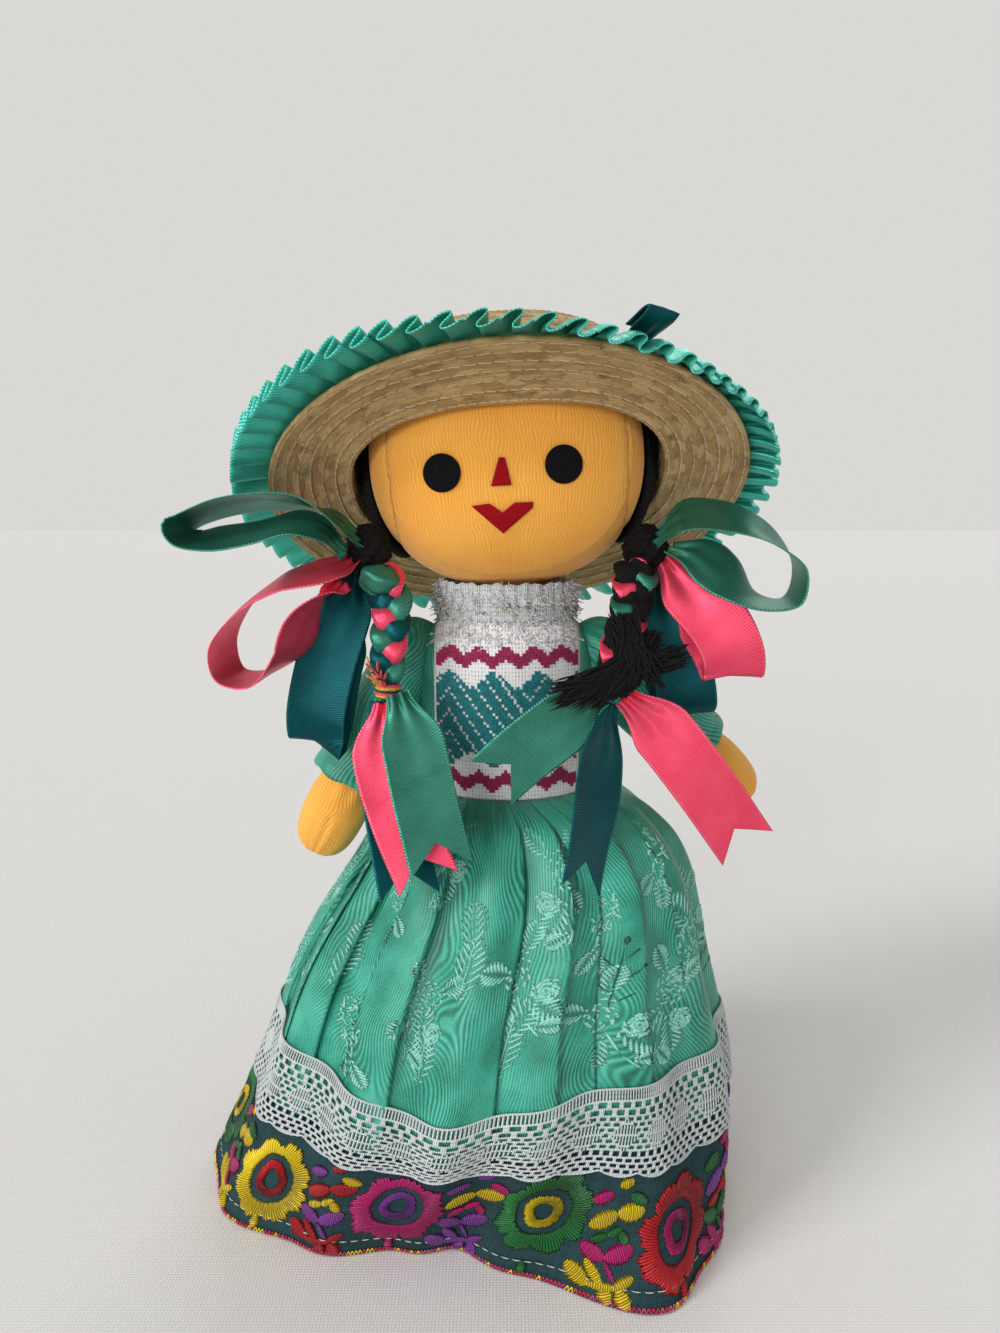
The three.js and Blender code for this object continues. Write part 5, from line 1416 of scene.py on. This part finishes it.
# Hem band: a strip of slate cotton sewn to the skirt's lower edge, machine embroidered all round.
# It hangs in the same folds as the skirt, and its plain weave shows between the flowers.
BAND_PALE, BAND_DEEP = "2c4b4f", "13282c"
BAND_CLEAR = 0.35
band_cloth = start_finish("slate_band", {"Specular IOR Level": 0.2})
across, along = band_cloth.cloth()
thread, tone = band_cloth.placed(plain_weave, across=across, along=along, pitch=0.7)
worn = band_cloth.noise(across, along, 15.0, 3.0)
faded = (thread * 0.35 + tone * 0.35 + worn * 0.5 - 0.1).ease(0, 1)
slate_band = end_finish(
    band_cloth,
    band_cloth.mix(faded, dyed(BAND_DEEP), dyed(BAND_PALE)),
    0.9 - thread * 0.15,
    thread * 0.12,
)
height = np.linspace(0, SEAM_HEIGHT - 0.2, 28)[:, None]
turn = np.linspace(-np.pi, np.pi, KNIFE_PLEATS * PLEAT_STATIONS + 1)
band = add_piece(
    "slate_hem_band", "dressed_torso", skirt_point(turn, height + BAND_CLEAR, SKIRT_LIFT),
    grid(turn / (2 * np.pi) * SKIRT_CUT, height), slate_band, ["hem_band"], thick=SKIRT_THICK)

# Band embroidery: big ringed flowers with sprays of leaves between them, in glossy rayon thread.
# Flowers repeat in four colourings. A running stitch and a bright overlocked edge finish the hem.
FLOWERS = 11
FLOWER_START = 67
FLOWER_HEIGHT = 20
FLOWER_RISES = (0, 1, 4.5, -1)
FLOWER_OUTER, FLOWER_INNER = 14.6, 8.8
BUD_OUTER, BUD_INNER = 6.2, 3.0
FLOWER_STITCHES = 92
RAYON = {
    "yellow": "ffdc00", "red": "d00a18", "magenta": "d3187a",
    "purple": "9a45b4", "green": "0f7a33", "pink": "d4507f",
}
RAYON_SHADOW = "170b0e"
RAYON_PITCH = 0.75
FLOWER_COLOURS = [("yellow", "red"), ("magenta", "purple"), ("green", "yellow"), ("red", "magenta")]
SPRAY_COLOURS = [
    ("red", "yellow", "purple", "red"), ("yellow", "magenta", "purple", "purple"),
    ("yellow", "green", "magenta", "yellow"), ("purple", "red", "green", "magenta"),
]
SPRAY_STROKES = [
    (-9.5, 22, 0.6, 27.6, 2.5, 0), (-0.4, 27.6, 10.5, 29, 2.6, 0), (-7.5, 18, -1, 20.6, 1.4, 1),
    (-2, 20.2, 3, 23.6, 1.4, 1), (1.5, 22.5, 5.8, 19, 1.6, 1), (-10.5, 16.4, -0.6, 13, 2.4, 2),
    (-1.4, 13.4, 8.4, 18.2, 2.7, 2), (-1, 13, 3.8, 7.2, 0.8, 2), (-13.4, 9.6, -4, 4.4, 2.5, 3),
    (-7.4, 12.4, 0.4, 5.4, 1.6, 3), (-6, 5, 6, 6.2, 1.2, 3), (0.2, 6.2, 3, 0.8, 2.1, 3),
    (5, 6.2, 8.8, 0.8, 2.1, 3), (3.5, 6, 9.6, 10.2, 1.4, 3), (-11, 30, -3, 33.4, 2.0, 2),
    (3, 33.6, 11, 31, 1.8, 1), (-2, 36, 4, 38, 1.6, 3),
]
STROKE_FULL, STROKE_BULGE = 1.2, 0.85
FLOWER_BULGE, BUD_BULGE = 0.7, 0.6
BAND_LIFT, THREAD_LIFT = 1.15, 0.12
MIDDLE_OF_BAND = 17.5
fine_turn = np.linspace(-np.pi, np.pi, 1441)
hem_run = run_along(skirt_point(fine_turn, np.array(MIDDLE_OF_BAND), 0))
hem_length = hem_run[-1]


def band_point(run, height, lift):
    """Point of the band at a run along its cloth from the back seam, a height, and a lift off its face."""
    turn = np.interp(run % hem_length, hem_run, fine_turn)
    return skirt_point(turn, np.maximum(height, 0.3), BAND_LIFT + lift)


rayon = start_finish("rayon_thread", {"Metallic": 0.25, "Anisotropic": 0.5, "Specular IOR Level": 0.5})
across, along = rayon.cloth()
lay = (along + rayon.noise(across, along, 2.0) * 0.3).wave(RAYON_PITCH)
shiny = rayon.noise(across * 0.3, along * 3, 1.0, 2.0)
stain = rayon.tint()
rayon_thread = end_finish(
    rayon,
    rayon.mix((1 - lay) * 0.75 + shiny * 0.15, stain, dyed(RAYON_SHADOW)),
    0.36 + shiny * 0.2,
    lay * 0.3 + shiny * 0.08,
)
pitch = hem_length / FLOWERS
turn = circuit(2 * FLOWER_STITCHES)
section = circuit(8)[:, None]
rng = np.random.default_rng(23)
points, maps, tints = [], [], []
for flower in range(FLOWERS):
    outer_dye, inner_dye = FLOWER_COLOURS[flower % 4]
    lean = rng.uniform(0, 2 * np.pi)
    tip = np.clip(np.cos(turn - np.pi / 2 - rng.uniform(-0.9, 0.9)), 0, 1) ** 5
    jagged = np.repeat(rng.uniform(-0.9, 0.9, FLOWER_STITCHES), 2)
    jagged = np.append(jagged, jagged[0])
    lobes = FLOWER_OUTER - 1.6 + 2.6 * np.abs(np.cos(4 * turn + lean)) ** 0.7 + jagged
    hollow = FLOWER_INNER * (0.94 + 0.22 * tip) + 0.25 * jagged
    bud = BUD_OUTER * (0.95 + 0.35 * tip) + 0.4 * jagged
    bud_hollow = BUD_INNER * (0.9 + 0.6 * tip)
    rings = ((hollow, lobes, outer_dye, FLOWER_BULGE), (bud_hollow, bud, inner_dye, BUD_BULGE))
    for inside, outside, dye, bulge in rings:
        radius = (inside + outside) / 2 + (outside - inside) / 2 * np.cos(section)
        lift = bulge * np.maximum(np.sin(section), -0.2) * (0.8 + 0.2 * np.cos(FLOWER_STITCHES * turn))
        run = FLOWER_START + flower * pitch + radius * np.cos(turn)
        middle = FLOWER_HEIGHT + FLOWER_RISES[flower % 4]
        points.append(band_point(run, middle + radius * np.sin(turn), lift + THREAD_LIFT))
        maps.append(grid(radius, turn / (2 * np.pi) * FLOWER_STITCHES * RAYON_PITCH))
        tints.append(np.broadcast_to(dyed(RAYON[dye]), radius.shape + (4,)))
flowers = add_piece(
    "band_flowers", "dressed_torso", np.stack(points), np.stack(maps), rayon_thread, tint=np.stack(tints))

stem = (-0.56 * pitch, FLOWER_HEIGHT - 13, 0.6 - 0.56 * pitch, 1.2, 1.5, 4)
strokes = np.array([*SPRAY_STROKES, stem])
place, lift, flat = spindles(strokes[:, :5] * (1, 1, 1, 1, STROKE_FULL), STROKE_BULGE, 13)
points, tints = [], []
for gap in range(FLOWERS):
    dyes = np.array([dyed(RAYON[name]) for name in (*SPRAY_COLOURS[gap % 4], FLOWER_COLOURS[gap % 4][0])])
    run = FLOWER_START + (gap + 0.5) * pitch + place[..., 0] * rng.uniform(0.84, 0.94)
    points.append(band_point(run, place[..., 1] + rng.uniform(-0.6, 0.6), lift + THREAD_LIFT))
    shade = dyes[strokes[:, 5].astype(int)] * rng.uniform(0.85, 1.1, (len(strokes), 1))
    tints.append(np.broadcast_to(shade[:, None, None], place.shape[:-1] + (4,)))
sprays = add_piece(
    "band_sprays", "dressed_torso", np.concatenate(points), np.tile(flat, (FLOWERS, 1, 1, 1)), rayon_thread,
    tint=np.concatenate(tints))

STITCH_HEIGHT, STITCH_LENGTH, STITCH_GAP = 6.5, 2.8, 0.7
STITCH_THICK, STITCH_COLOUR = 0.16, "d9dcd8"
stitch_count = int(hem_length // (STITCH_LENGTH + STITCH_GAP))
s = np.linspace(0, 1, 7)
run = np.arange(stitch_count)[:, None] * hem_length / stitch_count + STITCH_LENGTH * s
dash = band_point(run, STITCH_HEIGHT + 0.5 * np.sin(run / 37), 0.4 - 0.4 * (2 * s - 1) ** 4)
outward = unit(dash * (1, 1, 0))
thick = STITCH_THICK * np.array([0, 0.9, 1, 1, 1, 0.9, 0])
hem_stitch = add_piece(
    "hem_running_stitch", "dressed_torso", sweep(dash, outward, thick, thick, 6),
    grid(np.linspace(0, 2, 7), STITCH_LENGTH * s[:, None]), wound_thread, tint=dyed(STITCH_COLOUR))

EDGE_LOOPS = 430
EDGE_THICK = 0.21
s = np.linspace(0, 1, 8)
run = (np.arange(EDGE_LOOPS)[:, None] + 1.25 * s) * hem_length / EDGE_LOOPS
bead = band_point(run, 1.2 - 0.95 * np.cos(2 * np.pi * s), 0.2 + 0.25 * np.sin(np.pi * s))
outward = unit(bead * (1, 1, 0))
thick = EDGE_THICK * np.array([0, 0.9, 1, 1, 1, 1, 0.9, 0])
edge_dyes = np.array([dyed(RAYON[name]) for name in ("red", "pink", "yellow", "magenta")])
order = (np.arange(EDGE_LOOPS) // 21 + rng.integers(0, 3, EDGE_LOOPS)) % 4
overlock = add_piece(
    "hem_overlock", "dressed_torso", sweep(bead, outward, thick, thick, 6),
    grid(np.linspace(0, 2, 7), 3 * s[:, None]), wound_thread, tint=edge_dyes[order][:, None, None])

# Lace trim: white net lace laid over the seam of skirt and band and sewn along its upper edge.
# Eyelet rows run under the ribbed heading, then solid diamonds in open net, to a scalloped silver edge.
LACE_LOW, LACE_HIGH = 38.5, 67.0
DIAMONDS, DIAMOND_COLUMNS = 36, 24
HEADING_END, EYELET_END, DIAMOND_MIDDLE, NET_END = 7, 15, 24, 34
LACE_LIFT, LACE_THICK = 2.05, 0.45
CORD_LIFT, CORD_THICK, CORD_COLOUR = 2.3, 0.32, "cfd2d6"
lace_columns = DIAMONDS * DIAMOND_COLUMNS
lace_cell = hem_length / lace_columns
lace_rows = int((LACE_HIGH - LACE_LOW) / lace_cell)


def scallop(column):
    """Row of the lace at which a column ends: arches as half a sine, one to each diamond."""
    return lace_rows - 3 + 2.4 * np.abs(np.sin(np.pi * column / DIAMOND_COLUMNS))


row = np.arange(lace_rows)[:, None]
column = np.arange(lace_columns)
ladder = (column % 2 == 0) | (row % 6 == 0)
below = row - HEADING_END
eyelet = (below >= 0) & (row < EYELET_END) & (below % 4 < 3) & ((column + 4 * (below // 4)) % 8 < 5)
diamond = np.abs((row - DIAMOND_MIDDLE) / 9.0) + np.abs((column % DIAMOND_COLUMNS - 12) / 9.5) < 1
in_net = (row >= EYELET_END) & (row < NET_END)
below = row - EYELET_END
net_mesh = (below % 3 == 2) | ((column + 3 * (below // 3)) % 6 > 3)
open_net = in_net & ~diamond & ~net_mesh
below = row - NET_END
fine_net = (below >= 0) & (below % 3 < 2) & ((column + 3 * (below // 3)) % 6 < 4)
bare = ((row < HEADING_END) | (in_net & diamond)) & ~ladder
keep = ~eyelet & ~open_net & ~fine_net & ~bare & (row < scallop(column))
run = np.linspace(0, hem_length, lace_columns + 1)
height = LACE_HIGH - np.arange(lace_rows + 1)[:, None] * lace_cell
lace_turn = np.interp(run, hem_run, fine_turn)
lace = add_piece(
    "net_lace_trim", "dressed_torso", skirt_point(lace_turn, height, LACE_LIFT, 0.0), grid(run, height),
    silver_lace, ["lace_trim"], thick=LACE_THICK, keep=keep)

run = np.linspace(0, hem_length, 1201)
edge_height = LACE_HIGH - scallop(run / lace_cell) * lace_cell
cord = skirt_point(np.interp(run, hem_run, fine_turn), edge_height, CORD_LIFT, 0.0)
thick = np.full_like(run, CORD_THICK)
silver_edge = add_piece(
    "lace_silver_edge", "dressed_torso", sweep(cord, unit(cord * (1, 1, 0)), thick, thick, 6),
    grid(np.linspace(0, 2, 7), run[:, None]), wound_thread, tint=dyed(CORD_COLOUR))

# Stage: a plain pale cloth floor that runs to the horizon under a pale sky, laid flat and not fixed.
# Three soft lamps light it, a key from the doll's right, one in front and one behind. Each has a place
# in metres, a softness in degrees and a strength.
FLOOR_HALF = 6.0
FLOOR_PITCH = 1.1
LAMP_AIM = (0, 0, 0.16)
FLOOR_COLOUR, FLOOR_THREAD = "e9e7e4", "dedbd6"
SKY_LIGHT, SKY_SEEN = 0.45, 0.86
LAMPS = {
    "key": ((-2.2, -1.3, 1.8), 24, 1.55),
    "front": ((-0.9, -2.0, 0.55), 26, 1.1),
    "back": ((0.7, 1.8, 1.9), 32, 0.55),
}
floor_mesh = bpy.data.meshes.new("floor")
corners = FLOOR_HALF * np.array([(-1, -1, 0), (1, -1, 0), (1, 1, 0), (-1, 1, 0)])
floor_mesh.from_pydata(corners, [], [(0, 1, 2, 3)])
floor = bpy.data.objects.new("floor", floor_mesh)
scene.collection.objects.link(floor)
sheeting = start_finish("floor", {})
spot = sheeting.add("TexCoord", outlet="Object")
east, north = (sheeting.add("SeparateXYZ", {"Vector": spot}, axis) / MM for axis in (0, 1))
thread, tone = sheeting.placed(plain_weave, across=east, along=north, pitch=FLOOR_PITCH)
floor_mesh.materials.append(end_finish(
    sheeting,
    sheeting.mix(thread * 0.1 + tone * 0.1, dyed(FLOOR_COLOUR), dyed(FLOOR_THREAD)),
    0.95 - thread * 0.02,
    thread * 0.08,
))
for name, (place, softness, strength) in LAMPS.items():
    lamp = bpy.data.lights.new(name, "SUN")
    lamp.angle = np.radians(softness)
    lamp.energy = strength
    light = bpy.data.objects.new(name, lamp)
    light.location = place
    east, north, up = np.array(LAMP_AIM) - place
    light.rotation_euler = (np.arctan2(np.hypot(east, north), -up), 0, np.arctan2(north, east) - np.pi / 2)
    scene.collection.objects.link(light)
world = bpy.data.worlds.new("studio")
scene.world = world
world.use_nodes = True
sky = Finish(world.node_tree)
background = world.node_tree.nodes["Background"]
path = sky.tree.nodes.new("ShaderNodeLightPath")
camera_ray, glossy_ray, clear_ray = (
    Field(sky.tree, path.outputs[f"Is {kind} Ray"]) for kind in ("Camera", "Glossy", "Transmission"))
seen = camera_ray.math("MAXIMUM", glossy_ray).math("MAXIMUM", clear_ray)
plug(sky.tree, sky.mix(seen, dyed("ffffff"), dyed(FLOOR_COLOUR)), background.inputs["Color"])
plug(sky.tree, seen * (SKY_SEEN - SKY_LIGHT) + SKY_LIGHT, background.inputs["Strength"])
